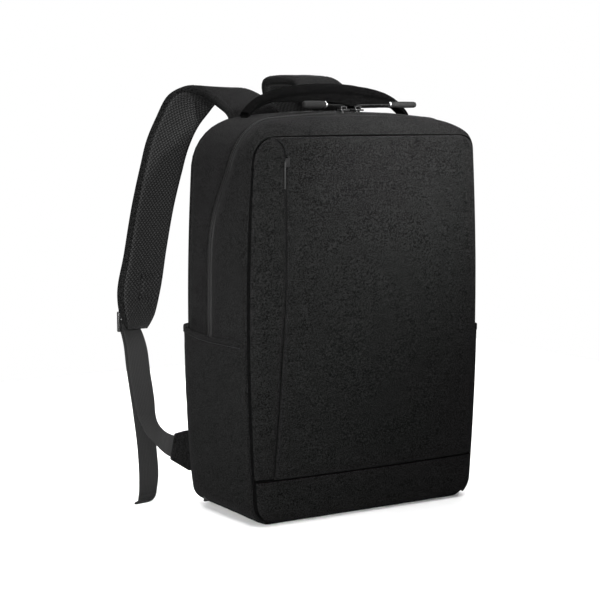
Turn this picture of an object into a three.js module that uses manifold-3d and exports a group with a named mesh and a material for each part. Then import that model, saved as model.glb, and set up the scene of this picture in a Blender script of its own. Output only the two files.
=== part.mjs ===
// School backpack: a soft clamshell bag with a front pocket, two side pockets,
// a padded back, two contoured shoulder straps and a grab handle.
// Millimetres, +Z up, front faces -Y, origin under the middle of the base, on the floor.
import * as THREE from 'three';
import { mergeVertices } from 'three/addons/utils/BufferGeometryUtils.js';
import Module from 'manifold-3d';

const wasm = await Module();
wasm.setup();

// ---------------------------------------------------------------- driving dimensions
const GAP = 0.3; // clearance between neighbouring pieces
const WALL = 4; // lined fabric wall
const BASE_WALL = 8; // floor of the bag with its lining
const BACK_FACE = 75; // outer plane of the back
const BACK_PANEL_THICKNESS = 12.7; // foam-filled back
const SIDE_BULGE = 9.5; // how far the full sides swell
const FRONT_SEAM_Y = -71; // corner seam between front panel and gusset
const BAND_TOP = 52; // seam above the bottom band
const FOLD_Z = 212; // where the front folds when the bag is opened
const FOLD_Y = -84;
const ZIP_END_Z = 150; // lower ends of the main zip
const TAPE_HALF = 4.7; // each zip tape, from the centre line
const TAPE_INSET = 0.8;
const TAPE_THICKNESS = 1.2;
const COIL_HALF = 1.2; // half the slot between the two tapes
const POCKET_HEM_Z = 205;
const POCKET_GAP = 1; // seam allowance between a side pocket and the bag
const WEBBING_WIDTH = 25;
const WEBBING_THICKNESS = 1.6;
const STRAP_PAD = [-3, 6]; // foam and cover, measured from the strap's middle surface
const STRAP_MESH = [-6, -3.7]; // spacer mesh on the wearer's side

// Cross-sections of the full bag, front to back:
// y, half width, bottom, shoulder height, top corner radius, bottom corner radius, crown, bulge
const BODY = [
  [-83, 88, 95, 350, 34, 34, 4, 0],
  [-81.5, 116, 58, 382, 32, 32, 3, 0.1],
  [-79, 132, 30, 402, 30, 28, 2, 0.3],
  [-76, 142, 12, 417, 28, 24, 1, 0.6],
  [-72, 146, 4, 426.5, 27, 22, 1, 0.9],
  [-66, 147, 0.6, 433, 29, 22, 1.5, 1],
  [-57, 147, 0, 439, 34, 22, 2.5, 1],
  [-46, 147, 0, 444, 41, 22, 4, 1],
  [-35, 147, 0, 446, 47, 22, 5.5, 1],
  [-10, 147, 0, 447, 52, 22, 6, 1],
  [25, 147, 0, 447, 53, 22, 6, 1],
  [52, 147, 0, 446.5, 54, 22, 6, 1],
  [66, 146.5, 0.6, 444.5, 54, 22, 5.5, 0.95],
  [72, 145, 3, 441.5, 53, 20, 5, 0.8],
  [BACK_FACE, 142, 6.5, 438, 51, 18, 4.5, 0.6],
].map(([y, half, bottom, top, corner, foot, crown, bulge]) => (
  { y, half, bottom, top, corner, foot, crown, bulge }));

// ---------------------------------------------------------------- finishes
function finish(color, roughness = 0.9) {
  return new THREE.MeshStandardMaterial({ color, roughness, metalness: 0 });
}
const shellFabric = finish(0x2b2c2f);
const darkFabric = finish(0x1c1d1f);
const lining = finish(0x3a3b3e);
const airMesh = finish(0x151617);
const webbing = finish(0x3b3c3f);
const zipTape = finish(0x202124, 0.55);
const gripRubber = finish(0x8b8d90, 0.6);
const stemRubber = finish(0x111214, 0.6);
const buckle = finish(0x17181a, 0.4);
const foam = finish(0x55565a);

const backpack = new THREE.Group();
backpack.name = 'backpack';

function addPiece(name, geometry, material) {
  const mesh = new THREE.Mesh(geometry, material);
  mesh.name = name;
  backpack.add(mesh);
}

// ---------------------------------------------------------------- solids
function toSolid(geometry) {
  const bare = geometry.clone();
  bare.deleteAttribute('normal');
  bare.deleteAttribute('uv');
  const merged = mergeVertices(bare, 1e-4);
  const vertProperties = new Float32Array(merged.getAttribute('position').array);
  const triVerts = new Uint32Array(merged.getIndex().array);
  return new wasm.Manifold(new wasm.Mesh({ numProp: 3, vertProperties, triVerts }));
}

function toGeometry(solid) {
  const mesh = solid.getMesh();
  const geometry = new THREE.BufferGeometry();
  geometry.setAttribute('position', new THREE.BufferAttribute(mesh.vertProperties, 3));
  geometry.setIndex(new THREE.BufferAttribute(mesh.triVerts, 1));
  return geometry;
}

// A closed skin over rings of equal length. Each end is closed by a fan, or, on a thin
// ring that goes out along one face and comes back along the other, by a strip.
function loft(rings, thin = false) {
  const count = rings[0].length;
  const points = rings.flat();
  const triangles = [];
  for (let r = 0; r + 1 < rings.length; r += 1) {
    for (let i = 0; i < count; i += 1) {
      const a = r * count + i;
      const b = r * count + (i + 1) % count;
      triangles.push(a, b, b + count, a, b + count, a + count);
    }
  }
  const ends = [[rings[0], 0, true], [rings[rings.length - 1], (rings.length - 1) * count, false]];
  for (const [ring, start, isFirst] of ends) {
    if (thin) {
      for (let i = 0; i < count / 2 - 1; i += 1) {
        const quad = [start + i, start + i + 1, start + count - 2 - i, start + count - 1 - i];
        const order = isFirst ? [0, 2, 1, 0, 3, 2] : [0, 1, 2, 0, 2, 3];
        triangles.push(...order.map((k) => quad[k]));
      }
      continue;
    }
    const centre = points.push(ring.reduce((sum, p) => sum.add(p), new THREE.Vector3())
      .divideScalar(count)) - 1;
    for (let i = 0; i < count; i += 1) {
      const a = start + i;
      const b = start + (i + 1) % count;
      triangles.push(...(isFirst ? [centre, b, a] : [centre, a, b]));
    }
  }
  return outward(points, triangles);
}

// Turns the triangles over if they enclose a negative volume.
function outward(points, triangles) {
  let volume = 0;
  const cross = new THREE.Vector3();
  for (let t = 0; t < triangles.length; t += 3) {
    cross.crossVectors(points[triangles[t + 1]], points[triangles[t + 2]]);
    volume += points[triangles[t]].dot(cross);
  }
  const geometry = new THREE.BufferGeometry().setFromPoints(points);
  geometry.setIndex(volume > 0 ? triangles : triangles.reverse());
  return geometry;
}

function box(x0, x1, y0, y1, z0, z1) {
  const geometry = new THREE.BoxGeometry(x1 - x0, y1 - y0, z1 - z0);
  geometry.translate((x0 + x1) / 2, (y0 + y1) / 2, (z0 + z1) / 2);
  return geometry;
}

const FAR = 400;
const block = (...limits) => toSolid(box(...limits));
const inFrontOf = (y) => block(-FAR, FAR, -FAR, y, -FAR, FAR + FAR);
const behind = (y) => block(-FAR, FAR, y, FAR, -FAR, FAR + FAR);
const between = (z0, z1) => block(-FAR, FAR, -FAR, FAR, z0, z1);
const above = (z) => between(z, FAR + FAR);
const leftOf = (x) => block(-FAR, x, -FAR, FAR, -FAR, FAR + FAR);
const rightOf = (x) => block(x, FAR, -FAR, FAR, -FAR, FAR + FAR);

// A prism whose outline is given in Y and Z and which runs from x0 to x1.
function prismAlongX(outline, x0, x1) {
  const shape = new THREE.Shape(outline.map(([y, z]) => new THREE.Vector2(y, z)));
  const geometry = new THREE.ExtrudeGeometry(shape, { depth: x1 - x0, bevelEnabled: false });
  const basis = new THREE.Matrix4().makeBasis(
    new THREE.Vector3(0, 1, 0), new THREE.Vector3(0, 0, 1), new THREE.Vector3(1, 0, 0));
  geometry.applyMatrix4(basis);
  return geometry.translate(x0, 0, 0);
}

// A prism whose outline is given in X and Z and which runs from y0 back to y1.
function prismAlongY(outline, y0, y1) {
  const shape = new THREE.Shape(outline.map(([x, z]) => new THREE.Vector2(x, z)));
  const geometry = new THREE.ExtrudeGeometry(shape, { depth: y1 - y0, bevelEnabled: false });
  const basis = new THREE.Matrix4().makeBasis(
    new THREE.Vector3(1, 0, 0), new THREE.Vector3(0, 0, 1), new THREE.Vector3(0, -1, 0));
  geometry.applyMatrix4(basis);
  return geometry.translate(0, y1, 0);
}

// ---------------------------------------------------------------- the bag's outer form
function bulgeAt(z) {
  const height = THREE.MathUtils.clamp((z - 10) / 430, 0, 1);
  return SIDE_BULGE * Math.sin(Math.PI * height) ** 0.9;
}

function arc(cx, cz, radius, from, to, steps) {
  const points = [];
  for (let i = 0; i <= steps; i += 1) {
    const angle = THREE.MathUtils.degToRad(from + (to - from) * i / steps);
    points.push([cx + radius * Math.cos(angle), cz + radius * Math.sin(angle)]);
  }
  return points;
}

function straight(x0, z0, x1, z1, steps) {
  const points = [];
  for (let i = 1; i < steps; i += 1) {
    points.push([x0 + (x1 - x0) * i / steps, z0 + (z1 - z0) * i / steps]);
  }
  return points;
}

// One cross-section of the bag, shrunk by an inset.
function bodyRing(section, inset) {
  const half = section.half - inset;
  const bottom = section.bottom + inset;
  const top = section.top - inset;
  const corner = section.corner - inset;
  const foot = section.foot - inset;
  const right = [
    ...arc(half - foot, bottom + foot, foot, -90, 0, 4),
    ...straight(half, bottom + foot, half, top - corner, 7),
    ...arc(half - corner, top - corner, corner, 0, 90, 6),
  ];
  const crown = straight(half - corner, top, corner - half, top, 6);
  const left = right.map(([x, z]) => [-x, z]).reverse();
  const base = straight(foot - half, bottom, half - foot, bottom, 4);
  const flat = half - corner;
  return [...right, ...crown, ...left, ...base].map(([x, z]) => {
    const swell = section.bulge * bulgeAt(z) / section.half;
    const onTop = z > top - 0.01 && Math.abs(x) < flat;
    const lift = onTop ? section.crown * (1 - (x / flat) ** 2) : 0;
    return new THREE.Vector3(x * (1 + swell), section.y, z + lift);
  });
}

function bodySolid(inset) {
  const rings = BODY.map((section) => {
    const ring = bodyRing(section, inset);
    const shift = section.y < -60 ? inset : (section.y > 60 ? -inset : 0);
    ring.forEach((point) => point.setY(section.y + shift));
    return ring;
  });
  return toSolid(loft(rings));
}

function sectionAt(y) {
  const next = BODY.findIndex((section) => section.y >= y);
  const b = BODY[Math.max(next, 1)];
  const a = BODY[Math.max(next, 1) - 1];
  const t = (y - a.y) / (b.y - a.y);
  const mixed = {};
  for (const key of Object.keys(a)) mixed[key] = THREE.MathUtils.lerp(a[key], b[key], t);
  return mixed;
}

// Half width of the bag at a place on its side.
function sideAt(y, z) {
  const { half, bottom, foot, bulge } = sectionAt(y);
  const depth = THREE.MathUtils.clamp(bottom + foot - z, 0, foot);
  const rounded = half - foot + Math.sqrt(foot * foot - depth * depth);
  return rounded * (1 + bulge * bulgeAt(z) / half);
}

// Height of the bag's top at a place, inside its corners.
function topAt(x, y) {
  const { half, top, corner, crown } = sectionAt(y);
  return top + crown * (1 - (x / (half - corner)) ** 2);
}

// ---------------------------------------------------------------- the main zip's line
// Seen from the side: straight up, then forward over the shoulder, then up to the top.
const shoulder = new THREE.CubicBezierCurve(
  new THREE.Vector2(13, 290), new THREE.Vector2(13, 370),
  new THREE.Vector2(-36, 370), new THREE.Vector2(-36, 450));

function zipLine(offset) {
  const points = [[13 + offset, -20]];
  for (let i = 0; i <= 14; i += 1) {
    const place = shoulder.getPoint(i / 14);
    const heading = shoulder.getTangent(i / 14);
    points.push([place.x + heading.y * offset, place.y - heading.x * offset]);
  }
  points.push([-36 + offset, 480]);
  return points;
}

function behindZip(offset) {
  return toSolid(prismAlongX([...zipLine(offset), [220, 480], [220, -20]], -200, 200));
}

function zipBand(from, to) {
  return behindZip(from).subtract(behindZip(to));
}

// ---------------------------------------------------------------- shell panels
const outer = bodySolid(0);
const cavity = bodySolid(WALL).intersect(above(BASE_WALL));
const shell = outer.subtract(cavity).intersect(inFrontOf(BACK_FACE - BACK_PANEL_THICKNESS - GAP));
const HALF_GAP = GAP / 2;

// Front pocket seam: a nearly upright line left of centre, leaning out towards the bottom.
const SEAM = [[-108, 440], [-110, 250], [-124, 30]];
const leftOfSeam = (shift) => toSolid(prismAlongY(
  [...SEAM.map(([x, z]) => [x + shift, z]), [-200, 30], [-200, 440]], -100, -50));

const lidZone = above(FOLD_Z + HALF_GAP);
const lowerZone = between(BASE_WALL + GAP, FOLD_Z - HALF_GAP);
const face = shell.intersect(inFrontOf(FRONT_SEAM_Y - HALF_GAP));
const sides = shell.intersect(behind(FRONT_SEAM_Y + HALF_GAP));
const frontSides = sides.subtract(behindZip(-5));
const bandLimit = above(BAND_TOP + HALF_GAP);

function addFace() {
  const panel = face.subtract(leftOfSeam(1.2)).intersect(bandLimit);
  const strip = face.intersect(leftOfSeam(-1.2)).intersect(bandLimit);
  addPiece('front_panel_upper', toGeometry(panel.intersect(lidZone)), shellFabric);
  addPiece('front_panel_lower', toGeometry(panel.intersect(lowerZone)), shellFabric);
  addPiece('pocket_strip_upper', toGeometry(strip.intersect(lidZone)), shellFabric);
  addPiece('pocket_strip_lower', toGeometry(strip.intersect(lowerZone)), shellFabric);
  addPiece('front_band', toGeometry(face.subtract(above(BAND_TOP - HALF_GAP))), shellFabric);
}

function addGussets() {
  const underZip = sides.subtract(behindZip(TAPE_HALF)).subtract(above(ZIP_END_Z - GAP));
  const lowerSides = frontSides.add(underZip).intersect(lowerZone);
  addPiece('lid_gusset', toGeometry(frontSides.intersect(lidZone)), shellFabric);
  addPiece('lower_gusset_left', toGeometry(lowerSides.intersect(leftOf(0))), shellFabric);
  addPiece('lower_gusset_right', toGeometry(lowerSides.intersect(rightOf(0))), shellFabric);
  const rear = sides.intersect(behindZip(5)).intersect(above(BASE_WALL + GAP));
  addPiece('rear_gusset', toGeometry(rear), shellFabric);
  const base = sides.intersect(between(-1, BASE_WALL));
  addPiece('base_panel', toGeometry(base), darkFabric);
}

function addZipTapes() {
  const skin = bodySolid(TAPE_INSET).subtract(bodySolid(TAPE_INSET + TAPE_THICKNESS));
  const front = skin.intersect(zipBand(-TAPE_HALF, -COIL_HALF));
  const rear = skin.intersect(zipBand(COIL_HALF, TAPE_HALF));
  const lower = front.intersect(between(ZIP_END_Z, FOLD_Z - HALF_GAP));
  addPiece('zip_tape_rear', toGeometry(rear.intersect(above(ZIP_END_Z))), zipTape);
  addPiece('zip_tape_lid', toGeometry(front.intersect(lidZone)), zipTape);
  addPiece('zip_tape_lower_left', toGeometry(lower.intersect(leftOf(0))), zipTape);
  addPiece('zip_tape_lower_right', toGeometry(lower.intersect(rightOf(0))), zipTape);
}

function addBack() {
  const slab = outer.intersect(behind(BACK_FACE - BACK_PANEL_THICKNESS));
  addPiece('back_panel', toGeometry(slab), darkFabric);
}

addFace();
addGussets();
addZipTapes();
addBack();

// ---------------------------------------------------------------- back cushions and yoke
// A pad with rounded corners, flat where it is sewn on and crowned on the wearer's side.
function cushion(xMid, zMid, width, height, start, thickness) {
  const rings = [[0, 0], [0.55, -0.5], [0.85, 2.5], [1, 9]].map(([depth, shrink]) => {
    const halfX = width / 2 - shrink;
    const halfZ = height / 2 - shrink;
    const radius = 22 - shrink;
    const quarter = arc(halfX - radius, halfZ - radius, radius, 0, 90, 4);
    const upper = [...quarter, ...quarter.map(([x, z]) => [-x, z]).reverse()];
    const outline = [...upper, ...upper.map(([x, z]) => [-x, -z])];
    return outline.map(([x, z]) => new THREE.Vector3(
      xMid + x, start + depth * thickness, zMid + z));
  });
  return loft(rings);
}

const PAD_START = BACK_FACE + GAP;
for (const [side, sign] of [['left', -1], ['right', 1]]) {
  addPiece(`back_pad_${side}`, cushion(sign * 68, 244, 104, 290, PAD_START, 9.5), airMesh);
}
addPiece('lumbar_pad', cushion(0, 58, 224, 68, PAD_START, 9.5), airMesh);
addPiece('yoke_panel', box(-100, 100, PAD_START, PAD_START + 3, 398, 438), darkFabric);

// ---------------------------------------------------------------- inside the bag
function addInterior() {
  const inside = bodySolid(WALL + GAP).intersect(above(BASE_WALL + GAP));
  const sleeve = inside.intersect(block(-FAR, FAR, 33, 36, 0, 320));
  addPiece('laptop_sleeve', toGeometry(sleeve), lining);
  const binding = inside.intersect(block(-146, 146, 32, 37, 320 + GAP, 328));
  addPiece('sleeve_binding', toGeometry(binding), darkFabric);
  addPiece('base_board', box(-120, 120, -56, 31, BASE_WALL + GAP, BASE_WALL + 4), foam);
  const liningPanel = inside.intersect(block(-FAR, FAR, -66.5, -65.3, 60, 405));
  const lower = toGeometry(liningPanel.intersect(lowerZone));
  addPiece('pocket_lining_upper', toGeometry(liningPanel.intersect(lidZone)), lining);
  addPiece('pocket_lining_lower', lower, lining);
}
addInterior();

// ---------------------------------------------------------------- side pockets
// The pocket's open space and skin are C-shaped sections stacked from the floor to the hem.
function pocketRing(z, thickness, swell, front, rear) {
  const outside = [];
  const inside = [];
  const steps = 10;
  for (let i = 0; i <= steps; i += 1) {
    const t = i / steps;
    const y = front + (rear - front) * t;
    const fullness = 1 - (2 * t - 1) ** 4;
    const surface = sideAt(y, z) + POCKET_GAP;
    const reach = thickness + swell * fullness;
    outside.push(new THREE.Vector3(surface + reach, y, z));
    inside.push(new THREE.Vector3(surface + Math.max(reach - thickness, 0), y, z));
  }
  return [...outside, ...inside.reverse()];
}

function pocket(sign) {
  const heights = [6, 12, 14, 30, 60, 95, 130, 165, POCKET_HEM_Z];
  const rings = heights.map((z) => {
    const swell = z < 13 ? 0 : 3 + 3.4 * Math.sqrt((z - 13) / (POCKET_HEM_Z - 13));
    return pocketRing(z, 1.5, swell, -63, 64);
  });
  return mirrored(loft(rings, true), sign);
}

function pocketHem(sign) {
  const rings = [POCKET_HEM_Z + GAP, POCKET_HEM_Z + 7].map((z) => pocketRing(z, 2.4, 6, -63, 64));
  return mirrored(loft(rings, true), sign);
}

// A copy on the wearer's other side: sign is -1 for x < 0.
function mirrored(geometry, sign) {
  if (sign > 0) return geometry;
  const copy = geometry.clone().scale(-1, 1, 1);
  copy.setIndex(Array.from(copy.getIndex().array).reverse());
  return copy;
}

for (const [side, sign] of [['left', -1], ['right', 1]]) {
  addPiece(`side_pocket_${side}`, pocket(sign), shellFabric);
  addPiece(`pocket_hem_${side}`, pocketHem(sign), darkFabric);
}

// ---------------------------------------------------------------- flat bands
// A band follows two edge curves; near and far are measured from the surface between them,
// and each face is narrower than the band by its bevel on both edges.
function band(edges, near, far, steps, nearBevel = 0, farBevel = 0) {
  const curveA = new THREE.CatmullRomCurve3(edges.map(([a]) => new THREE.Vector3(...a)));
  const curveB = new THREE.CatmullRomCurve3(edges.map(([, b]) => new THREE.Vector3(...b)));
  const parts = 4;
  const rings = [];
  for (let i = 0; i <= steps; i += 1) {
    const a = curveA.getPoint(i / steps);
    const b = curveB.getPoint(i / steps);
    const heading = curveA.getTangent(i / steps).add(curveB.getTangent(i / steps));
    const across = b.clone().sub(a);
    const width = across.length();
    const normal = new THREE.Vector3().crossVectors(across, heading).normalize();
    across.normalize();
    const place = (reach, height) => a.clone()
      .addScaledVector(across, reach).addScaledVector(normal, height);
    const ring = [];
    for (let k = 0; k <= parts; k += 1) {
      ring.push(place(nearBevel + (width - 2 * nearBevel) * k / parts, near));
    }
    if (farBevel > 0) ring.push(place(width, (near + far) / 2));
    for (let k = parts; k >= 0; k -= 1) {
      ring.push(place(farBevel + (width - 2 * farBevel) * k / parts, far));
    }
    if (farBevel > 0) ring.push(place(0, (near + far) / 2));
    rings.push(ring);
  }
  return loft(rings);
}

// ---------------------------------------------------------------- shoulder straps
// Pairs of points on the strap's outer and inner edges, from the yoke to the tip.
const LEFT_STRAP = [
  [[-92, 83, 446], [-26, 83, 448]],
  [[-99, 101, 460], [-36, 104, 468]],
  [[-110, 120, 470], [-52, 124, 474]],
  [[-124, 134, 473], [-72, 139, 466]],
  [[-140, 140, 464], [-88, 144, 448]],
  [[-156, 141, 444], [-102, 145, 430]],
  [[-168, 140, 420], [-113, 145, 408]],
  [[-178, 138, 388], [-122, 145, 380]],
  [[-189, 136, 348], [-132, 145, 345]],
  [[-203, 131, 288], [-144, 145, 289]],
  [[-214, 127, 240], [-154, 143, 240]],
  [[-211, 127, 218], [-163, 140, 214]],
  [[-204, 128, 200], [-172, 138, 198]],
];
const RIGHT_STRAP = [
  [[92, 83, 446], [26, 83, 448]],
  [[84, 87, 470], [16, 89, 472]],
  [[66, 93, 490], [2, 97, 491]],
  [[52, 112, 495], [-8, 118, 495]],
  [[48, 132, 492], [-14, 137, 491]],
  [[58, 143, 476], [-6, 147, 470]],
  [[84, 146, 452], [24, 149, 440]],
  [[112, 146, 424], [56, 150, 406]],
  [[140, 144, 392], [84, 149, 376]],
  [[164, 141, 354], [106, 148, 343]],
  [[178, 136, 306], [120, 146, 300]],
  [[175, 134, 284], [129, 144, 280]],
  [[168, 134, 266], [138, 142, 264]],
];

function addStrap(side, edges) {
  const flip = side === 'left' ? 1 : -1;
  const pad = band(edges, flip * STRAP_PAD[0], flip * STRAP_PAD[1], 26, 1.2, 4);
  const mesh = band(edges, flip * STRAP_MESH[1], flip * STRAP_MESH[0], 26, 1.2, 2);
  addPiece(`strap_pad_${side}`, pad, darkFabric);
  addPiece(`strap_mesh_${side}`, mesh, airMesh);
}
addStrap('left', LEFT_STRAP);
addStrap('right', RIGHT_STRAP);

for (const [side, sign] of [['left', -1], ['right', 1]]) {
  const tab = box(29, 89, PAD_START + 3 + GAP, PAD_START + 5, 412, 438);
  addPiece(`strap_root_${side}`, mirrored(tab, sign), darkFabric);
}

// ---------------------------------------------------------------- ladder locks
// A moulded frame with three bars; local X is across the webbing and local Y points outward.
const LOCK_WIDTH = 34;
const LOCK_THICKNESS = 4;
const LOCK_START = 9.6; // from the strap's middle surface

function lockFrame() {
  const outline = new THREE.Shape();
  const half = LOCK_WIDTH / 2;
  outline.moveTo(-half, -12);
  outline.lineTo(half, -12);
  outline.lineTo(half - 1.5, 12);
  outline.lineTo(1.5 - half, 12);
  for (const [z0, z1] of [[-8, -3], [2, 7.5]]) {
    const slot = new THREE.Path();
    slot.moveTo(-13, z0);
    slot.lineTo(-13, z1);
    slot.lineTo(13, z1);
    slot.lineTo(13, z0);
    outline.holes.push(slot);
  }
  const plate = new THREE.ExtrudeGeometry(outline, { depth: LOCK_THICKNESS, bevelEnabled: false });
  return plate.rotateX(Math.PI / 2).translate(0, LOCK_START + LOCK_THICKNESS, 0);
}

// The short webbing that holds the lock: up the strap, round the top bar and back up.
function lockLoop() {
  const play = 0.8; // the bar rocks a little inside the loop
  const near = LOCK_START - play;
  const far = LOCK_START + LOCK_THICKNESS + play;
  return prismAlongX([
    [near - 1.2, 26], [near - 1.2, 5.7], [far + 1.2, 5.7], [far + 1.2, 20],
    [far, 20], [far, 6.9], [near, 6.9], [near, 26],
  ], -12.5, 12.5);
}

function addLock(side, place, turnDegrees) {
  const turn = THREE.MathUtils.degToRad(turnDegrees);
  for (const [name, shape, material] of [
    [`ladder_lock_${side}`, lockFrame(), buckle], [`lock_loop_${side}`, lockLoop(), webbing]]) {
    addPiece(name, shape.rotateZ(turn).translate(...place), material);
  }
}
addLock('left', [-190, 133, 208], 15);
addLock('right', [154, 140, 274], -13);

// ---------------------------------------------------------------- lower webbing
const LEFT_LOOP = [
  [[-175, 82, 56], [-169.5, 84, 80]],
  [[-182, 98, 66], [-172, 101, 84]],
  [[-190, 107, 78], [-174, 108, 90]],
  [[-196, 114, 96], [-174, 114, 98]],
  [[-199, 119, 118], [-174, 117, 116]],
  [[-201, 126, 150], [-176, 123, 148]],
  [[-203, 132, 192], [-179, 130, 192]],
];
const RIGHT_LOOP = [
  [[175, 82, 56], [169.5, 84, 80]],
  [[183, 99, 70], [170, 101, 88]],
  [[184, 108, 96], [162, 108, 102]],
  [[180, 116, 138], [156, 113, 138]],
  [[174, 127, 200], [149, 124, 200]],
  [[168, 134, 256], [143, 131, 256]],
];
const LEFT_TAIL = [
  [[-205, 136, 192], [-180, 140, 192]],
  [[-203, 132, 155], [-178, 131, 155]],
  [[-199, 123, 100], [-174, 122, 100]],
  [[-198, 114, 56], [-173, 114, 55]],
  [[-200, 107, 25], [-175, 107, 25]],
  [[-203, 102, 9], [-179, 104, 9]],
];
const LEFT_TAIL_END = [
  [[-203.4, 101.4, 8.4], [-179.4, 103.4, 8.4]],
  [[-206, 98, 3], [-183, 101, 3]],
  [[-214, 91, 2.1], [-190, 96, 2.1]],
];
const RIGHT_TAIL = [
  [[171, 142, 258], [146, 146, 258]],
  [[174, 137, 200], [149, 139, 200]],
  [[176, 131, 130], [151, 132, 130]],
  [[176, 127, 66], [151, 127, 66]],
];
const RIGHT_TAIL_END = [
  [[176, 127, 65.6], [151, 127, 65.6]],
  [[176, 127, 52], [151, 127, 52]],
];

function addWebbing(name, edges, thickness, steps) {
  addPiece(name, band(edges, -thickness / 2, thickness / 2, steps), webbing);
}
addWebbing('webbing_loop_left', LEFT_LOOP, WEBBING_THICKNESS, 14);
addWebbing('webbing_loop_right', RIGHT_LOOP, WEBBING_THICKNESS, 14);
addWebbing('webbing_tail_left', LEFT_TAIL, WEBBING_THICKNESS, 12);
addWebbing('webbing_tail_right', RIGHT_TAIL, WEBBING_THICKNESS, 8);
addWebbing('tail_hem_left', LEFT_TAIL_END, 2 * WEBBING_THICKNESS, 5);
addWebbing('tail_hem_right', RIGHT_TAIL_END, 2 * WEBBING_THICKNESS, 1);

// Triangular fabric wings that hold the lower webbing, sewn in beside the back panel.
const WING = [[-138, 36], [-150, 36], [-174, 52], [-168, 82], [-154, 84], [-138, 84]];
for (const [side, sign] of [['left', 1], ['right', -1]]) {
  const outline = sign > 0 ? WING : WING.map(([x, z]) => [-x, z]).reverse();
  addPiece(`webbing_wing_${side}`, prismAlongY(outline, PAD_START, PAD_START + 4), darkFabric);
}

// ---------------------------------------------------------------- grab handle
const HANDLE_Y = 16;
const HANDLE_HALF = 93;

function handleSection(x) {
  const reach = Math.abs(x) / 108;
  const middle = 478.5 - 17 * reach ** 2 - 13 * reach ** 8;
  const thickness = THREE.MathUtils.lerp(7.5, 2, reach ** 3);
  const width = THREE.MathUtils.lerp(13, 11, reach ** 2);
  return Array.from({ length: 12 }, (_, i) => {
    const angle = i * Math.PI / 6;
    const y = HANDLE_Y + width * Math.cos(angle);
    return new THREE.Vector3(x, y, middle + thickness * Math.sin(angle));
  });
}

function handlePart(from, to, steps) {
  return loft(Array.from({ length: steps + 1 }, (_, i) => (
    handleSection(from + (to - from) * i / steps))));
}

addPiece('grab_handle', handlePart(-HANDLE_HALF, HANDLE_HALF, 16), darkFabric);
addPiece('handle_end_left', handlePart(-108, -HANDLE_HALF - GAP, 3), darkFabric);
addPiece('handle_end_right', handlePart(HANDLE_HALF + GAP, 108, 3), darkFabric);

// ---------------------------------------------------------------- zip sliders and pulls
const SLIDER_Y = -36;

// Upper and lower plates joined by a post in the slot, with a bridge for the pull.
function zipSlider(x) {
  const top = topAt(x, SLIDER_Y);
  const plate = block(x - 6, x + 6, SLIDER_Y - 4.5, SLIDER_Y + 4.5, top + 1.6, top + 3.6);
  const post = block(x - 2.5, x + 2.5, SLIDER_Y - 0.8, SLIDER_Y + 0.8, top - 4.6, top + 2);
  const under = block(x - 5, x + 5, SLIDER_Y - 4, SLIDER_Y + 4, top - 6, top - 4.4);
  const bridge = block(x - 4, x + 4, SLIDER_Y - 1.5, SLIDER_Y + 1.5, top + 3.2, top + 7)
    .subtract(block(x - 2.6, x + 2.6, SLIDER_Y - 2, SLIDER_Y + 2, top + 3.6, top + 5.8));
  return toGeometry(plate.add(post).add(under).add(bridge));
}

// The stem leaves the bridge, and the grip is a short round bar moulded round its end.
function pullParts(x, heading, reach) {
  const start = new THREE.Vector3(x, SLIDER_Y, topAt(x, SLIDER_Y) + 7.4);
  const along = new THREE.Vector3(Math.cos(heading), Math.sin(heading), 0);
  const rod = (radius, from, to, sides, lift) => {
    const length = to - from;
    const bar = new THREE.CylinderGeometry(radius, radius, length, sides);
    bar.rotateZ(-Math.PI / 2).rotateZ(heading);
    const middle = start.clone().addScaledVector(along, (from + to) / 2);
    return bar.translate(middle.x, middle.y, middle.z + lift);
  };
  const stem = rod(1.3, 5, reach - GAP, 8, 1.2);
  const grip = rod(4.3, reach, reach + 33, 14, 1.2);
  return [stem, grip];
}

for (const [side, x, headingDegrees, reach] of [['left', -10, 193, 30], ['right', 9, -6, 42]]) {
  const [stem, grip] = pullParts(x, THREE.MathUtils.degToRad(headingDegrees), reach);
  addPiece(`zip_slider_${side}`, zipSlider(x), buckle);
  addPiece(`pull_stem_${side}`, stem, stemRubber);
  addPiece(`pull_grip_${side}`, grip, gripRubber);
}

// ---------------------------------------------------------------- front pocket zip
function addPocketZip() {
  const skin = bodySolid(WALL + GAP).subtract(bodySolid(WALL + GAP + TAPE_THICKNESS));
  const beside = skin.intersect(leftOfSeam(8)).subtract(leftOfSeam(-8)).intersect(inFrontOf(-68));
  const tape = beside.intersect(between(218, 402));
  addPiece('pocket_zip_tape', toGeometry(tape), zipTape);
  const body = block(-112.6, -104.6, -85.2, -83.2, 392, 404);
  const post = block(-109.3, -107.9, -83.4, -79, 395, 400);
  addPiece('pocket_zip_slider', toGeometry(body.add(post)), buckle);
  addPiece('pocket_zip_pull', box(-111, -106.6, -87.4, -85.6, 370, 399.6), gripRubber);
}
addPocketZip();

export default backpack;
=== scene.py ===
"""A school backpack: woven polyester shell with a wrap-round zip, a front pocket, two side
pockets, a padded back, two shoulder straps on adjustable webbing and a padded grab handle.
Shapes are worked out in millimetres and brought to metres when each piece is finished."""
import math

import bmesh
import bpy
from mathutils import Matrix, Vector, noise


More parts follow.
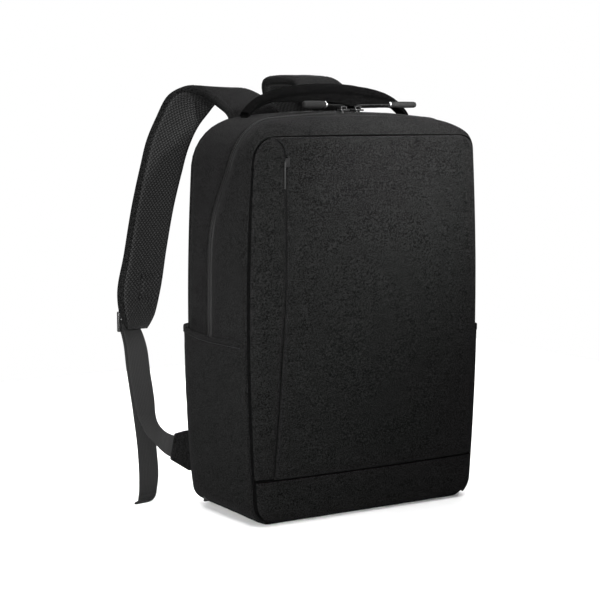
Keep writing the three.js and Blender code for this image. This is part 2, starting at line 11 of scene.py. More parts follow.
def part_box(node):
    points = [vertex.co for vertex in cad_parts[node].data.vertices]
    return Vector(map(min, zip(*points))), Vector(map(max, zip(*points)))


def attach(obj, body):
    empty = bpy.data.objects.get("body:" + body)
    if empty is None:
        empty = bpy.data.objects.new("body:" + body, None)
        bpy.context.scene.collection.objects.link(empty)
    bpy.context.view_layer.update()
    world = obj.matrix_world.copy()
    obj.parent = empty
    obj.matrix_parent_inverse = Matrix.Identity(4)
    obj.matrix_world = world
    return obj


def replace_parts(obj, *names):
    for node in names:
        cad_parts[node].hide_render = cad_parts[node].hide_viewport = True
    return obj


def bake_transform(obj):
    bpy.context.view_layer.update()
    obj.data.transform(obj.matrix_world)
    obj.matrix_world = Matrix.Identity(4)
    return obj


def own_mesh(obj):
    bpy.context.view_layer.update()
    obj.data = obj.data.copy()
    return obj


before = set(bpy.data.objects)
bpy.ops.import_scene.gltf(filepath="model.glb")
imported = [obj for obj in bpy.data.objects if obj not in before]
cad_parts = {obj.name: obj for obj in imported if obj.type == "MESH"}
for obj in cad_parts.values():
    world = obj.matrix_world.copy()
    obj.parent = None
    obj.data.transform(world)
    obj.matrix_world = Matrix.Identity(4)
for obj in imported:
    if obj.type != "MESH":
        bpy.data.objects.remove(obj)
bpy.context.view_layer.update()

# Camera: a long lens at about the height of the bag's top, looking at its front left corner.
CAMERA_TURN = math.radians(-31.4)
CAMERA_TILT = math.radians(6.93)
CAMERA_DISTANCE = 1.816
look_at = Vector((-0.045, 0, 0.238))
camera = bpy.data.objects.new("camera", bpy.data.cameras.new("camera"))
bpy.context.collection.objects.link(camera)
camera.location = look_at + CAMERA_DISTANCE * Vector((
    math.sin(CAMERA_TURN) * math.cos(CAMERA_TILT),
    -math.cos(CAMERA_TURN) * math.cos(CAMERA_TILT),
    math.sin(CAMERA_TILT)))
camera.rotation_euler = (look_at - camera.location).to_track_quat("-Z", "Y").to_euler()
camera.data.sensor_width = 36
camera.data.lens = 95.1
bpy.context.scene.camera = camera

# Studio: a white floor under one wide soft light, with four narrow soft lights aimed at the
# front and the left side and a weak one from behind.
bpy.context.scene.view_settings.view_transform = "Standard"


def soft_light(name, place, target, size, watts, spread=180):
    light = bpy.data.objects.new(name, bpy.data.lights.new(name, "AREA"))
    light.data.shape = "SQUARE"
    light.data.size = size
    light.data.energy = watts
    light.data.spread = math.radians(spread)
    light.location = place
    light.rotation_euler = (Vector(target) - light.location).to_track_quat("-Z", "Y").to_euler()
    bpy.context.collection.objects.link(light)


soft_light("overhead_softbox", (0.1, 0.2, 2.2), (0.1, 0.2, 0), 2.6, 114)
soft_light("key_softbox", (-0.55, -1.15, 0.85), (-0.04, -0.08, 0.45), 0.25, 0.7, 24)
soft_light("key_right", (0.20, -1.10, 0.80), (0.08, -0.08, 0.44), 0.25, 1.5, 19)
soft_light("front_fill", (-0.90, -1.00, 0.50), (-0.20, -0.08, 0.28), 0.3, 1.4, 30)
soft_light("pocket_fill", (-1.00, -0.90, 0.30), (-0.16, -0.02, 0.10), 0.3, 0.55, 24)
soft_light("rear_fill", (0.55, 1.25, 0.35), (0, 0.10, 0.24), 0.3, 1.6, 34)

world = bpy.data.worlds.new("studio")
world.use_nodes = True
world_nodes, world_links = world.node_tree.nodes, world.node_tree.links
ray = world_nodes.new("ShaderNodeLightPath")
glow = world_nodes.new("ShaderNodeMapRange")
glow.inputs["To Min"].default_value = 0.10
glow.inputs["To Max"].default_value = 1.0
world_links.new(ray.outputs["Is Camera Ray"], glow.inputs["Value"])
world_nodes["Background"].inputs["Color"].default_value = (1, 1, 1, 1)
world_links.new(glow.outputs["Result"], world_nodes["Background"].inputs["Strength"])
bpy.context.scene.world = world

floor_bm = bmesh.new()
bmesh.ops.create_grid(floor_bm, x_segments=1, y_segments=1, size=0.95)
floor_mesh = bpy.data.meshes.new("floor")
floor_bm.to_mesh(floor_mesh)
floor_bm.free()
floor = bpy.data.objects.new("floor", floor_mesh)
bpy.context.collection.objects.link(floor)
floor_paint = bpy.data.materials.new("floor_white")
floor_paint.use_nodes = True
floor_surface = floor_paint.node_tree.nodes["Principled BSDF"]
floor_surface.inputs["Base Color"].default_value = (0.95, 0.95, 0.95, 1)
floor_surface.inputs["Roughness"].default_value = 0.9
floor_mesh.materials.append(floor_paint)

# Shell fabric: two-tone polyester, near black with lighter threads, plain woven.
# Its cloth pattern reads the position on the bag, so it runs across seams unbroken.


def shader(name, roughness, sheen=0.0, sheen_roughness=0.5, specular=0.5):
    material = bpy.data.materials.new(name)
    material.use_nodes = True
    surface = material.node_tree.nodes["Principled BSDF"]
    surface.inputs["Roughness"].default_value = roughness
    surface.inputs["Specular IOR Level"].default_value = specular
    surface.inputs["Sheen Weight"].default_value = sheen
    surface.inputs["Sheen Roughness"].default_value = sheen_roughness
    return material, surface, material.node_tree.nodes, material.node_tree.links


def grey(value):
    return (value, value, value)


def two_tone(nodes, links, factor, dark, light, low, high):
    ramp = nodes.new("ShaderNodeValToRGB")
    ramp.color_ramp.elements[0].position = low
    ramp.color_ramp.elements[0].color = (*dark, 1)
    ramp.color_ramp.elements[1].position = high
    ramp.color_ramp.elements[1].color = (*light, 1)
    links.new(factor, ramp.inputs["Fac"])
    return ramp.outputs["Color"]


def speckle(nodes, links, place, scale, detail, stretch=(1, 1, 1)):
    mapping = nodes.new("ShaderNodeMapping")
    mapping.inputs["Scale"].default_value = stretch
    grain = nodes.new("ShaderNodeTexNoise")
    grain.inputs["Scale"].default_value = scale
    grain.inputs["Detail"].default_value = detail
    grain.inputs["Roughness"].default_value = 0.7
    links.new(place, mapping.inputs["Vector"])
    links.new(mapping.outputs["Vector"], grain.inputs["Vector"])
    return grain.outputs["Fac"]


def threads(nodes, links, place, scale, direction):
    wave = nodes.new("ShaderNodeTexWave")
    wave.bands_direction = direction
    wave.inputs["Scale"].default_value = scale
    wave.inputs["Distortion"].default_value = 1.2
    wave.inputs["Detail"].default_value = 1
    links.new(place, wave.inputs["Vector"])
    return wave.outputs["Fac"]


def combine(nodes, links, operation, first, second):
    node = nodes.new("ShaderNodeMath")
    node.operation = operation
    for socket, value in zip(node.inputs, (first, second)):
        if isinstance(value, (int, float)):
            socket.default_value = value
        else:
            links.new(value, socket)
    return node.outputs["Value"]


def raise_surface(nodes, links, surface, height, depth, strength=1.0):
    bump = nodes.new("ShaderNodeBump")
    bump.inputs["Distance"].default_value = depth
    bump.inputs["Strength"].default_value = strength
    links.new(height, bump.inputs["Height"])
    links.new(bump.outputs["Normal"], surface.inputs["Normal"])


def woven_cloth(name, dark, light, roughness=0.8, sheen=0.01):
    material, surface, nodes, links = shader(name, roughness, sheen, 0.5, 0.0)
    place = nodes.new("ShaderNodeTexCoord").outputs["Object"]
    melange = speckle(nodes, links, place, 680, 2, (1, 1, 1.3))
    slubs = speckle(nodes, links, place, 60, 2, (1, 1, 3))
    mixed = combine(nodes, links, "ADD", combine(nodes, links, "MULTIPLY", melange, 0.9),
                    combine(nodes, links, "MULTIPLY", slubs, 0.1))
    links.new(two_tone(nodes, links, mixed, dark, light, 0.40, 0.61), surface.inputs["Base Color"])
    across = threads(nodes, links, place, 520, "DIAGONAL")
    height = combine(nodes, links, "ADD", combine(nodes, links, "MULTIPLY", across, 0.3), melange)
    raise_surface(nodes, links, surface, height, 0.0006, 0.6)
    return material


shell_cloth = woven_cloth("shell_cloth", grey(0.0009), grey(0.0089))
dark_cloth = woven_cloth("dark_cloth", grey(0.0005), grey(0.0026), 0.85, 0.002)


# Lining: thin grey polyester inside the shell.
def plain_lining():
    material, surface, nodes, links = shader("lining_cloth", 0.7, specular=0.1)
    place = nodes.new("ShaderNodeTexCoord").outputs["Object"]
    grain = speckle(nodes, links, place, 700, 2)
    links.new(two_tone(nodes, links, grain, grey(0.010), grey(0.020), 0.3, 0.7),
              surface.inputs["Base Color"])
    raise_surface(nodes, links, surface, grain, 0.0002, 0.6)
    return material


lining_cloth = plain_lining()

# The filled bag's outer form: cross-sections from the front (-y) to the back.
# y, half width, bottom, shoulder height, top corner, bottom corner, crown, side bulge
SECTIONS = [
    (-83, 88, 95, 350, 34, 34, 4, 0), (-79, 132, 30, 402, 30, 28, 2, 0.3),
    (-76, 142, 12, 417, 28, 24, 1, 0.6), (-72, 146, 4, 426.5, 27, 22, 1, 0.9),
    (-66, 147, 0.6, 433, 29, 22, 1.5, 1), (-57, 147, 0, 439, 34, 22, 2.5, 1),
    (-46, 147, 0, 444, 41, 22, 4, 1), (-35, 147, 0, 446, 47, 22, 5.5, 1),
    (-10, 147, 0, 447, 52, 22, 6, 1), (25, 147, 0, 447, 53, 22, 6, 1),
    (52, 147, 0, 446.5, 54, 22, 6, 1), (66, 146.5, 0.6, 444.5, 54, 22, 5.5, 0.95),
    (75, 142, 6.5, 438, 51, 18, 4.5, 0.6)]
SIDE_BULGE = 9.5
SEAM_Y = -71  # seam between the front face and the gusset
BACK_SEAM_Y = 62
BACK_Y = 75  # the flat of the back


def between_rows(rows, at):
    """A row of the table, eased between its neighbours so the form has no creases."""
    last = len(rows) - 2
    i = min(max(sum(row[0] <= at for row in rows) - 1, 0), last)
    a, b = rows[i], rows[i + 1]
    before, after = rows[max(i - 1, 0)], rows[min(i + 2, last + 1)]
    t = (at - a[0]) / (b[0] - a[0])
    values = []
    for p0, p1, p2, p3 in zip(before, a, b, after):
        m1, m2 = (p2 - p0) / 2, (p3 - p1) / 2
        lowest, highest = min(p1, p2), max(p1, p2)
        value = ((2 * t**3 - 3 * t**2 + 1) * p1 + (t**3 - 2 * t**2 + t) * m1
                 + (3 * t**2 - 2 * t**3) * p2 + (t**3 - t**2) * m2)
        values.append(min(max(value, lowest), highest))
    return values[1:]


def bulge_at(z):
    return SIDE_BULGE * math.sin(math.pi * min(max((z - 10) / 430, 0), 1)) ** 0.9


def outline_point(y, q):
    """A point of the bag at depth y: q runs from the base's middle, up the left side,
    across the top at 0.5, and down the right side back to the base."""
    half, bottom, top, corner, foot, crown, bulge = between_rows(SECTIONS, y)
    if q > 0.5:  # the wearer's right top corner is sewn tighter at the front
        corner *= 1 - 0.35 * min(max((-48 - y) / 18, 0), 1)
    h = 2 * min(q, 1 - q)
    flat = half - corner
    if h < 0.16:
        x, z = (half - foot) * h / 0.16, bottom
    elif h < 0.22:
        turn = (h - 0.16) / 0.06 * math.pi / 2
        x, z = half - foot + foot * math.sin(turn), bottom + foot - foot * math.cos(turn)
    elif h < 0.68:
        x, z = half, bottom + foot + (top - corner - bottom - foot) * (h - 0.22) / 0.46
    elif h < 0.82:
        turn = (h - 0.68) / 0.14 * math.pi / 2
        x, z = flat + corner * math.cos(turn), top - corner + corner * math.sin(turn)
    else:
        x = flat * (1 - h) / 0.18
        z = top + crown * (1 - (x / flat) ** 2)
    x *= 1 + bulge * bulge_at(z) / half
    return Vector((-x if q < 0.5 else x, y, z))


def outward_at(y, q):
    step = 0.002
    along = outline_point(y, q + step) - outline_point(y, q - step)
    return along.cross(Vector((0, 1, 0))).normalized()


def pucker(place, amount, wave=0.02):
    """Small uneven swellings of sewn cloth, in millimetres."""
    broad = noise.noise(place * wave)
    fine = noise.noise(place * wave * 3.7 + Vector((7, 3, 5)))
    return amount * (broad + 0.45 * fine)


def seam_dip(distance, depth=1.7, reach=3.2):
    """How far cloth is drawn in at a given distance from its seam."""
    return depth * math.exp(-((max(distance, 0) / reach) ** 1.3))


def eased(t):
    """Spreads mesh rows so that they lie closer together near both borders."""
    return 0.35 * t + 0.65 * (0.5 - 0.5 * math.cos(math.pi * t))


def shaped_grid(columns, rows, place, chart=None, cloth_index=None):
    """A grid whose corners run from (0, 0) to (1, 1), moved to where place(u, v) says. A chart
    gives each corner its place in a cloth pattern, in millimetres."""
    bm = bmesh.new()
    bmesh.ops.create_grid(bm, x_segments=columns, y_segments=rows, size=0.5)
    if cloth_index:
        for face in bm.faces:
            middle = face.calc_center_median()
            face.material_index = cloth_index(middle.x + 0.5, middle.y + 0.5)
    if chart:
        layer = bm.loops.layers.uv.new("pattern")
        for face in bm.faces:
            for loop in face.loops:
                loop[layer].uv = chart(loop.vert.co.x + 0.5, loop.vert.co.y + 0.5)
    for vert in bm.verts:
        vert.co = place(vert.co.x + 0.5, vert.co.y + 0.5)
    return bm


def turn_outward(bm, middle=Vector((0, 0, 230))):
    """Faces of an open panel look away from the bag's middle."""
    bm.normal_update()
    facing = sum(face.normal.dot(face.calc_center_median() - middle) * face.calc_area()
                 for face in bm.faces)
    if facing < 0:
        bmesh.ops.reverse_faces(bm, faces=bm.faces)


def finish_piece(name, bm, materials, slot, *replaced, body=None, wall=0.0, smooth=True):
    """Brings a mesh to metres, makes the object and gives it a wall if it is a sheet."""
    bmesh.ops.scale(bm, vec=(0.001, 0.001, 0.001), verts=bm.verts)
    mesh = bpy.data.meshes.new(name)
    bm.to_mesh(mesh)
    bm.free()
    for polygon in mesh.polygons:
        polygon.use_smooth = smooth
    piece = bpy.data.objects.new(name, mesh)
    bpy.context.collection.objects.link(piece)
    for material in materials:
        mesh.materials.append(material)
    if wall:
        thicken = piece.modifiers.new("wall", "SOLIDIFY")
        thicken.thickness = wall / 1000
        thicken.offset = -1
        thicken.use_even_offset = True
        thicken.material_offset = len(materials) - 1
    if replaced:
        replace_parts(piece, *replaced)
    if body:
        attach(piece, body)
    return piece


# Main zip line: straight up each side, forward over the shoulder, then along the top.
ZIP_SIDE_Y = 13
ZIP_TOP_Y = -36
ZIP_TURN = (290, 450)  # heights between which it swings forward
TAPE_EDGE = 5.0


def zip_y(z):
    """The zip line's y at a height: a cubic with upright ends."""
    low, high = ZIP_TURN
    if z <= low:
        return ZIP_SIDE_Y
    if z >= high:
        return ZIP_TOP_Y
    t = 0.5
    for _ in range(12):  # the height of the curve at t is solved by Newton steps
        height = low * (1 - t) ** 3 + 370 * 3 * t * (1 - t) + high * t**3
        slope = 3 * (370 - low) * (1 - t) ** 2 + 3 * (high - 370) * t**2 + 1e-6
        t = min(max(t - (height - z) / slope, 0), 1)
    return ZIP_SIDE_Y + (ZIP_TOP_Y - ZIP_SIDE_Y) * (3 * t**2 - 2 * t**3)


def zip_place(q, shift):
    """Depth y on the outline at q, a given distance behind the zip line."""
    y = ZIP_SIDE_Y
    for _ in range(8):
        z = outline_point(y, q).z
        slope = (zip_y(z + 1) - zip_y(z - 1)) / 2
        y = 0.5 * y + 0.5 * (zip_y(z) + shift * math.sqrt(1 + min(slope**2, 8)))
    return y


def gusset_panel(columns, rows, near, far, cloth_index=None):
    """A strip of the shell round the bag's sides and top between two depths."""
    def place(u, v):
        q = 0.085 + 0.83 * u
        y0, y1 = near(q), far(q)
        y = y0 + (y1 - y0) * eased(v)
        distance = min(y - y0, y1 - y)
        point = outline_point(y, q)
        rolled = seam_dip(y - y0, 0.7, 9) if y0 == SEAM_Y else 0
        depth = seam_dip(distance) + rolled - pucker(point, 0.9) * min(distance / 12, 1)
        return point - outward_at(y, q) * depth
    bm = shaped_grid(columns, rows, place, cloth_index=cloth_index)
    turn_outward(bm)
    return bm


def zip_gap(q):
    """Half the width that the zip takes up; below its ends the two cloths meet in a seam."""
    t = min(max((min(q, 1 - q) - 0.1865) / 0.004, 0), 1)
    return 0.3 + (TAPE_EDGE - 0.3) * t * t * (3 - 2 * t)


# Front gusset: the part of the side and top panels before the zip. It opens with the lid.
front_gusset = finish_piece(
    "front_gusset",
    gusset_panel(190, 18, lambda q: SEAM_Y, lambda q: zip_place(q, -zip_gap(q)),
                 # Its row of faces along the front seam takes dark_cloth: painted shade in the
                 # seam's crease.
                 lambda u, v: 1 if v < 1 / 18 else 0),
    [shell_cloth, dark_cloth, lining_cloth], "shell_fabric",
    "lid_gusset", "lower_gusset_left", "lower_gusset_right", wall=2.6)
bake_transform(front_gusset)

# Rear gusset: the wider part behind the zip, which carries the handle and the side pockets.
finish_piece(
    "rear_gusset_cloth",
    gusset_panel(190, 22, lambda q: zip_place(q, zip_gap(q)), lambda q: BACK_SEAM_Y),
    [shell_cloth, lining_cloth], "shell_fabric", "rear_gusset", body="root", wall=2.6)


# Base panel: a heavier cloth under the bag, turned up a little at both ends.
def base_panel():
    def place(u, v):
        q = 0.084 - 0.168 * u
        y = SEAM_Y - 1.5 + (BACK_SEAM_Y - SEAM_Y + 3) * eased(v)
        point = outline_point(y, q % 1)
        lift = seam_dip(min(y - SEAM_Y + 1.5, BACK_SEAM_Y + 1.5 - y), 1.2)
        return point + Vector((0, 0, 0.2 + lift * 0.6))
    bm = shaped_grid(40, 20, place)
    turn_outward(bm)
    return bm


finish_piece("base_cloth", base_panel(), [dark_cloth, lining_cloth], "dark_fabric",
             "base_panel", body="root", wall=4)

# Front face: a soft dome inside the gusset's front seam. The strip beside the pocket zip has
# an arched top, and the large panel beside it overlaps it with a folded edge.
FACE_TOP = 425.5
FACE_BOTTOM = 3
FACE_MIDDLE = 215
ARCH_START = 404  # the strip's arch begins here
ARCH_WIDTH = 19


def face_half(z, top_corner=18):
    """Half width of the front face at a height, with its rounded corners."""
    foot = 22
    half = 144
    if z > FACE_TOP - top_corner:
        half -= top_corner - math.sqrt(max(top_corner**2 - (z - FACE_TOP + top_corner) ** 2, 0))
    if z < FACE_BOTTOM + foot:
        half -= foot - math.sqrt(max(foot**2 - (FACE_BOTTOM + foot - z) ** 2, 0))
    return half * (1 + 0.92 * bulge_at(z) / 146)


def face_y(x, z):
    nx = min(abs(x) / (146 + 0.92 * bulge_at(z)), 1)
    nz = min(abs(z - FACE_MIDDLE) / (FACE_TOP - FACE_MIDDLE + 0.5), 1)
    rim = math.sqrt(max((1 - nx**10) * (1 - nz**10), 0))
    return SEAM_Y - 5 * rim - 6.5 * (1 - nx**2.2) * (1 - nz**2.4)


def pocket_seam(z):
    """The pocket's edge: leaning out towards the bottom, and arched over at its top."""
    if z <= 250:
        return -110 - 13.5 * (250 - z) / 200
    x = -110 + 1.5 * (z - 250) / 150
    if z > ARCH_START:
        reach = min((z - ARCH_START) / (FACE_TOP - ARCH_START), 1)
        x -= ARCH_WIDTH * (1 - math.sqrt(max(1 - reach**2, 0)))
    return x


def face_panel(columns, rows, left, right, bottom, top, dips, swell, cloth_index=None):
    """A piece of the face; dips says how deep its left, right, bottom and top seams are."""
    def place(u, v):
        z = bottom + (top - bottom) * eased(v)
        x0, x1 = left(z), right(z)
        x = x0 + (x1 - x0) * eased(u)
        y = face_y(x, z)
        gaps = (x - x0, x1 - x, z - bottom, top - z)
        dip = max(seam_dip(gap, depth) if depth > 0 else -0.8 * math.exp(-gap / 6)
                  for gap, depth in zip(gaps, dips))
        inside = min(min(gaps) / 15, 1)
        proud = (swell + pucker(Vector((x, y, z)), 0.9, 0.014)) * inside
        return Vector((x, y + dip - proud, z))
    bm = shaped_grid(columns, rows, place, cloth_index=cloth_index)
    turn_outward(bm)
    return bm


BAND_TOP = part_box("front_band")[1].z * 1000
front_panel = finish_piece(
    "front_panel",
    face_panel(64, 84, lambda z: pocket_seam(z) + 0.3, face_half, BAND_TOP + 0.3, FACE_TOP,
               (-1, 1.8, 1.8, 1.0), 0.9),
    [shell_cloth, lining_cloth], "shell_fabric",
    "front_panel_upper", "front_panel_lower", wall=2.4)
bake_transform(front_panel)

pocket_strip = finish_piece(
    "pocket_strip",
    face_panel(18, 84, lambda z: -face_half(z, 27), lambda z: pocket_seam(z) - 0.3,
               BAND_TOP + 0.3, FACE_TOP - 1, (1.8, 2.2, 1.8, 1.8), 0.3,
               # Its column along the left seam and its row along the bottom seam take dark_cloth:
               # painted shade in the seam creases.
               lambda u, v: 1 if u < 1 / 18 or v < 1 / 84 else 0),
    [shell_cloth, dark_cloth, lining_cloth], "shell_fabric",
    "pocket_strip_upper", "pocket_strip_lower", wall=2.4)
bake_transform(pocket_strip)

finish_piece(
    "front_band_cloth",
    face_panel(64, 16, lambda z: -face_half(z, 27), face_half, FACE_BOTTOM, BAND_TOP - 0.3,
               # Its row along the top seam and its column along the left seam take dark_cloth:
               # painted shade in the seam creases.
               (1.8, 1.8, 0.4, 1.8), 1.0, lambda u, v: 1 if v > 15 / 16 or u < 1 / 64 else 0),
    [shell_cloth, dark_cloth, lining_cloth], "shell_fabric", "front_band", body="root", wall=2.4)


# Main zip: two woven tapes with the coil hidden behind them, so that only a narrow ridge and
# a dark middle line show. The front tape opens with the lid.
def ribbed_tape():
    material, surface, nodes, links = shader("zip_tape_cloth", 0.5, specular=0.08)
    chart = nodes.new("ShaderNodeUVMap").outputs["UV"]
    place = nodes.new("ShaderNodeTexCoord").outputs["Object"]
    grain = speckle(nodes, links, place, 900, 2)
    links.new(two_tone(nodes, links, grain, grey(0.0012), grey(0.0050), 0.3, 0.7),
              surface.inputs["Base Color"])
    ribs = threads(nodes, links, chart, 0.32, "Y")
    height = combine(nodes, links, "ADD", combine(nodes, links, "MULTIPLY", ribs, 0.6), grain)
    raise_surface(nodes, links, surface, height, 0.0003, 0.7)
    return material


zip_cloth = ribbed_tape()
ZIP_START = 0.1885  # where on the outline the zip's two ends lie


def zip_tape(name, side, *replaced, body=None):
    def place(u, v):
        q = ZIP_START + (1 - 2 * ZIP_START) * u
        distance = 0.1 + 5.5 * v
        y = zip_place(q, side * distance)
        height = -1.9 + 2.4 * math.exp(-abs((distance - 2.2) / 1.6) ** 3)
        return outline_point(y, q) + outward_at(y, q) * height
    bm = shaped_grid(230, 14, place, chart=lambda u, v: (5.5 * v, 1050 * u))
    turn_outward(bm)
    return finish_piece(name, bm, [zip_cloth], "zip_tape", *replaced, body=body, wall=0.9)


zip_front = zip_tape("zip_tape_front", -1, "zip_tape_lid",
                     "zip_tape_lower_left", "zip_tape_lower_right")
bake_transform(zip_front)
zip_tape("zip_tape_back", 1, "zip_tape_rear", body="root")


# Side pockets: one piece of shell cloth on each side, cut full so that it stands away from
# the bag towards the back, with a turned and stitched hem round its open mouth.
POCKET_FRONT = -69
POCKET_BACK = 66
POCKET_FOOT = 5


def closed_sweep(columns, rows, place, chart=None, cloth_index=None):
    """A solid swept form: u runs round its section and v along it; its ends are closed."""
    bm = shaped_grid(columns, rows, place, chart, cloth_index)
    bmesh.ops.remove_doubles(bm, verts=bm.verts, dist=0.001)
    bmesh.ops.holes_fill(bm, edges=bm.edges)
    bmesh.ops.recalc_face_normals(bm, faces=bm.faces)
    return bm


def squared(value, power):
    """A cosine or sine bent so that a round section becomes a fuller one."""
    return math.copysign(abs(value) ** power, value)


def round_edges(bm, edges, radius, segments):
    bmesh.ops.bevel(bm, geom=edges, offset=radius, segments=segments, profile=0.5,
                    affect="EDGES", material=-1)


def pocket_rim(t):
    return 204.5 + 6.5 * max((t - 0.45) / 0.55, 0) ** 2


def pocket_reach(t, z):
    """How far the pocket stands off the bag: t runs from its front seam to its back seam."""
    if t < 0.72:
        across = 1 - (1 - t / 0.72) ** 2.0
    else:
        across = max(1 - ((t - 0.72) / 0.28) ** 5, 0) ** 0.5
    low = min(max((z - 6) / 30, 0), 1)
    full = math.sqrt(max(1 - (1 - low) ** 2, 0))
    rise = 0.78 + 0.22 * min(z / 205, 1)
    sag = 1.2 * math.sin(math.pi * min(max((z - 20) / 190, 0), 1)) * math.sin(math.pi * t)
    return 0.5 + (9.6 * across * rise - sag) * full


def pocket_point(sign, t, z, extra=0.0):
    y = POCKET_FRONT + (POCKET_BACK - POCKET_FRONT) * t
    half, bottom, top, corner, foot, crown, bulge = between_rows(SECTIONS, y)
    x = half + bulge * bulge_at(z)
    if z < foot:
        x -= foot - math.sqrt(max(foot**2 - (foot - z) ** 2, 0))
    reach = pocket_reach(t, z)
    wrinkle = pucker(Vector((sign * 140, y, z)), 1.1, 0.017) * min(reach / 3, 1)
    return Vector((sign * (x + reach + extra + wrinkle), y, z))


def sewing_thread():
    material, surface, nodes, links = shader("sewing_thread", 0.6, specular=0.1)
    place = nodes.new("ShaderNodeTexCoord").outputs["Object"]
    ply = speckle(nodes, links, place, 1600, 1)
    links.new(two_tone(nodes, links, ply, grey(0.0015), grey(0.0045), 0.3, 0.7),
              surface.inputs["Base Color"])
    raise_surface(nodes, links, surface, ply, 0.0001, 0.5)
    return material


thread = sewing_thread()


def stitch_row(name, points, outward, length=2.6):
    """Short bars of thread lying on the cloth at the points, each along the line of the row."""
    bm = bmesh.new()
    for before, here, after, out in zip(points, points[1:], points[2:], outward[1:]):
        along = (after - before).normalized()
        aside = out.cross(along).normalized()
        turn = Matrix((along, aside, along.cross(aside))).transposed().to_4x4()
        bmesh.ops.create_cube(bm, size=1, matrix=Matrix.Translation(here) @ turn @ Matrix.Diagonal(
            (length, 0.55, 0.5, 1)))
    round_edges(bm, bm.edges[:], 0.14, 1)
    return finish_piece(name, bm, [thread], "shell_fabric")


def side_pocket(side, sign):
    def place(u, v):
        t = 0.5 - 0.5 * math.cos(math.pi * u)
        up = 0.4 * v + 0.6 * v * v * (3 - 2 * v)
        return pocket_point(sign, t, POCKET_FOOT + (pocket_rim(t) - 1 - POCKET_FOOT) * up)
    bm = shaped_grid(54, 60, place)
    turn_outward(bm)
    finish_piece(f"pocket_{side}", bm, [shell_cloth, lining_cloth], "shell_fabric",
                 f"side_pocket_{side}", body="root", wall=1.3)

    def hem_place(u, v):
        t = 0.5 - 0.5 * math.cos(math.pi * v)
        turn = 2 * math.pi * u
        up = 4.2 * squared(math.cos(turn), 0.5)
        out = 1.15 * squared(math.sin(turn), 0.7)
        z = pocket_rim(t) - 3.4 + up
        return pocket_point(sign, t, z, out - 0.35)
    finish_piece(f"pocket_hem_{side}_fold", closed_sweep(20, 60, hem_place), [shell_cloth],
                 "dark_fabric", f"pocket_hem_{side}", body="root")
    along = [0.03 + 0.94 * i / 38 for i in range(39)]
    sewn = [pocket_point(sign, t, pocket_rim(t) - 5.6, 0.85) for t in along]
    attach(stitch_row(f"pocket_stitches_{side}", sewn, [Vector((sign, 0, 0))] * len(sewn)), "root")


side_pocket("left", -1)
side_pocket("right", 1)


# Back: a foam panel wrapped round to the gusset seam, faced with spacer mesh. The mesh has
# a diagonal lattice of small holes.
def air_mesh(name, use_chart, pitch=3.6):
    """Spacer mesh; charts are in millimetres and object positions in metres."""
    material, surface, nodes, links = shader(name, 0.7, 0.02, 0.5, 0.15)
    if use_chart:
        place = nodes.new("ShaderNodeUVMap").outputs["UV"]
        first, second, unit = 0, 1, 1.0
    else:
        place = nodes.new("ShaderNodeTexCoord").outputs["Object"]
        first, second, unit = 0, 2, 1000.0
    split = nodes.new("ShaderNodeSeparateXYZ")
    links.new(place, split.inputs["Vector"])
    a, b = split.outputs[first], split.outputs[second]
    step = 2 * math.pi * unit / pitch
    waves = []
    for operation in ("ADD", "SUBTRACT"):
        slant = combine(nodes, links, operation, a, b)
        diagonal = combine(nodes, links, "MULTIPLY", slant, step * math.sqrt(0.5))
        waves.append(combine(nodes, links, "COSINE", diagonal, 0.0))
    lattice = combine(nodes, links, "ADD", waves[0], waves[1])
    depth = combine(nodes, links, "MULTIPLY", combine(nodes, links, "ADD", lattice, 2.0), 0.25)
    # The colour darkens where the lattice sinks into its holes: painted shade inside the holes.
    links.new(two_tone(nodes, links, depth, grey(0.0105), grey(0.0003), 0.30, 0.46),
              surface.inputs["Base Color"])
    sunk = combine(nodes, links, "MULTIPLY", depth, -1.0)
    raise_surface(nodes, links, surface, sunk, 0.0008, 0.8)
    return material


back_mesh = air_mesh("back_air_mesh", False)
strap_mesh = air_mesh("strap_air_mesh", True)


def back_panel():
    def place(u, v):
        if v < 0.3:
            y = BACK_SEAM_Y + 0.4 + (BACK_Y - BACK_SEAM_Y - 0.4) * v / 0.3
            point = outline_point(y, u)
            return point - outward_at(y, u) * seam_dip(y - BACK_SEAM_Y - 0.4)
        size = 1 - (v - 0.3) / 0.7
        middle = Vector((0, BACK_Y, 225))
        point = middle + (outline_point(BACK_Y, u) - middle) * size
        point.y += 0.25 * (1 - size**6)
        return point
    bm = shaped_grid(120, 44, place)
    bmesh.ops.remove_doubles(bm, verts=bm.verts, dist=0.001)
    turn_outward(bm)
    for face in bm.faces:
        face.material_index = 1 if face.calc_center_median().y > BACK_Y - 0.05 else 0
    return bm


finish_piece("back_cover", back_panel(), [shell_cloth, back_mesh, lining_cloth], "shell_fabric",
             "back_panel", body="root", wall=4)


# Back cushions: two long pads and a lumbar pad of soft foam under spacer mesh, blown up a
# little as cloth and then sewn down along channels.
def apply_modifiers(piece):
    evaluated = piece.evaluated_get(bpy.context.evaluated_depsgraph_get())
    shaped = bpy.data.meshes.new_from_object(evaluated)
    piece.modifiers.clear()
    rough = piece.data
    piece.data = shaped
    bpy.data.meshes.remove(rough)


def inflate(piece, voxel, pressure, cap):
    """Fills a closed mesh like a cushion: it swells under pressure, by no more than the cap."""
    remesh = piece.modifiers.new("even_mesh", "REMESH")
    remesh.mode = "VOXEL"
    remesh.voxel_size = voxel
    apply_modifiers(piece)
    start = [vert.co.copy() for vert in piece.data.vertices]
    cloth = piece.modifiers.new("filling", "CLOTH")
    cloth.settings.use_pressure = True
    cloth.settings.uniform_pressure_force = pressure
    cloth.settings.effector_weights.gravity = 0
    for step in range(1, 21):
        bpy.context.scene.frame_set(step)
    apply_modifiers(piece)
    for vert, before in zip(piece.data.vertices, start):
        move = vert.co - before
        if move.length > cap:
            vert.co = before + move * (cap / move.length)


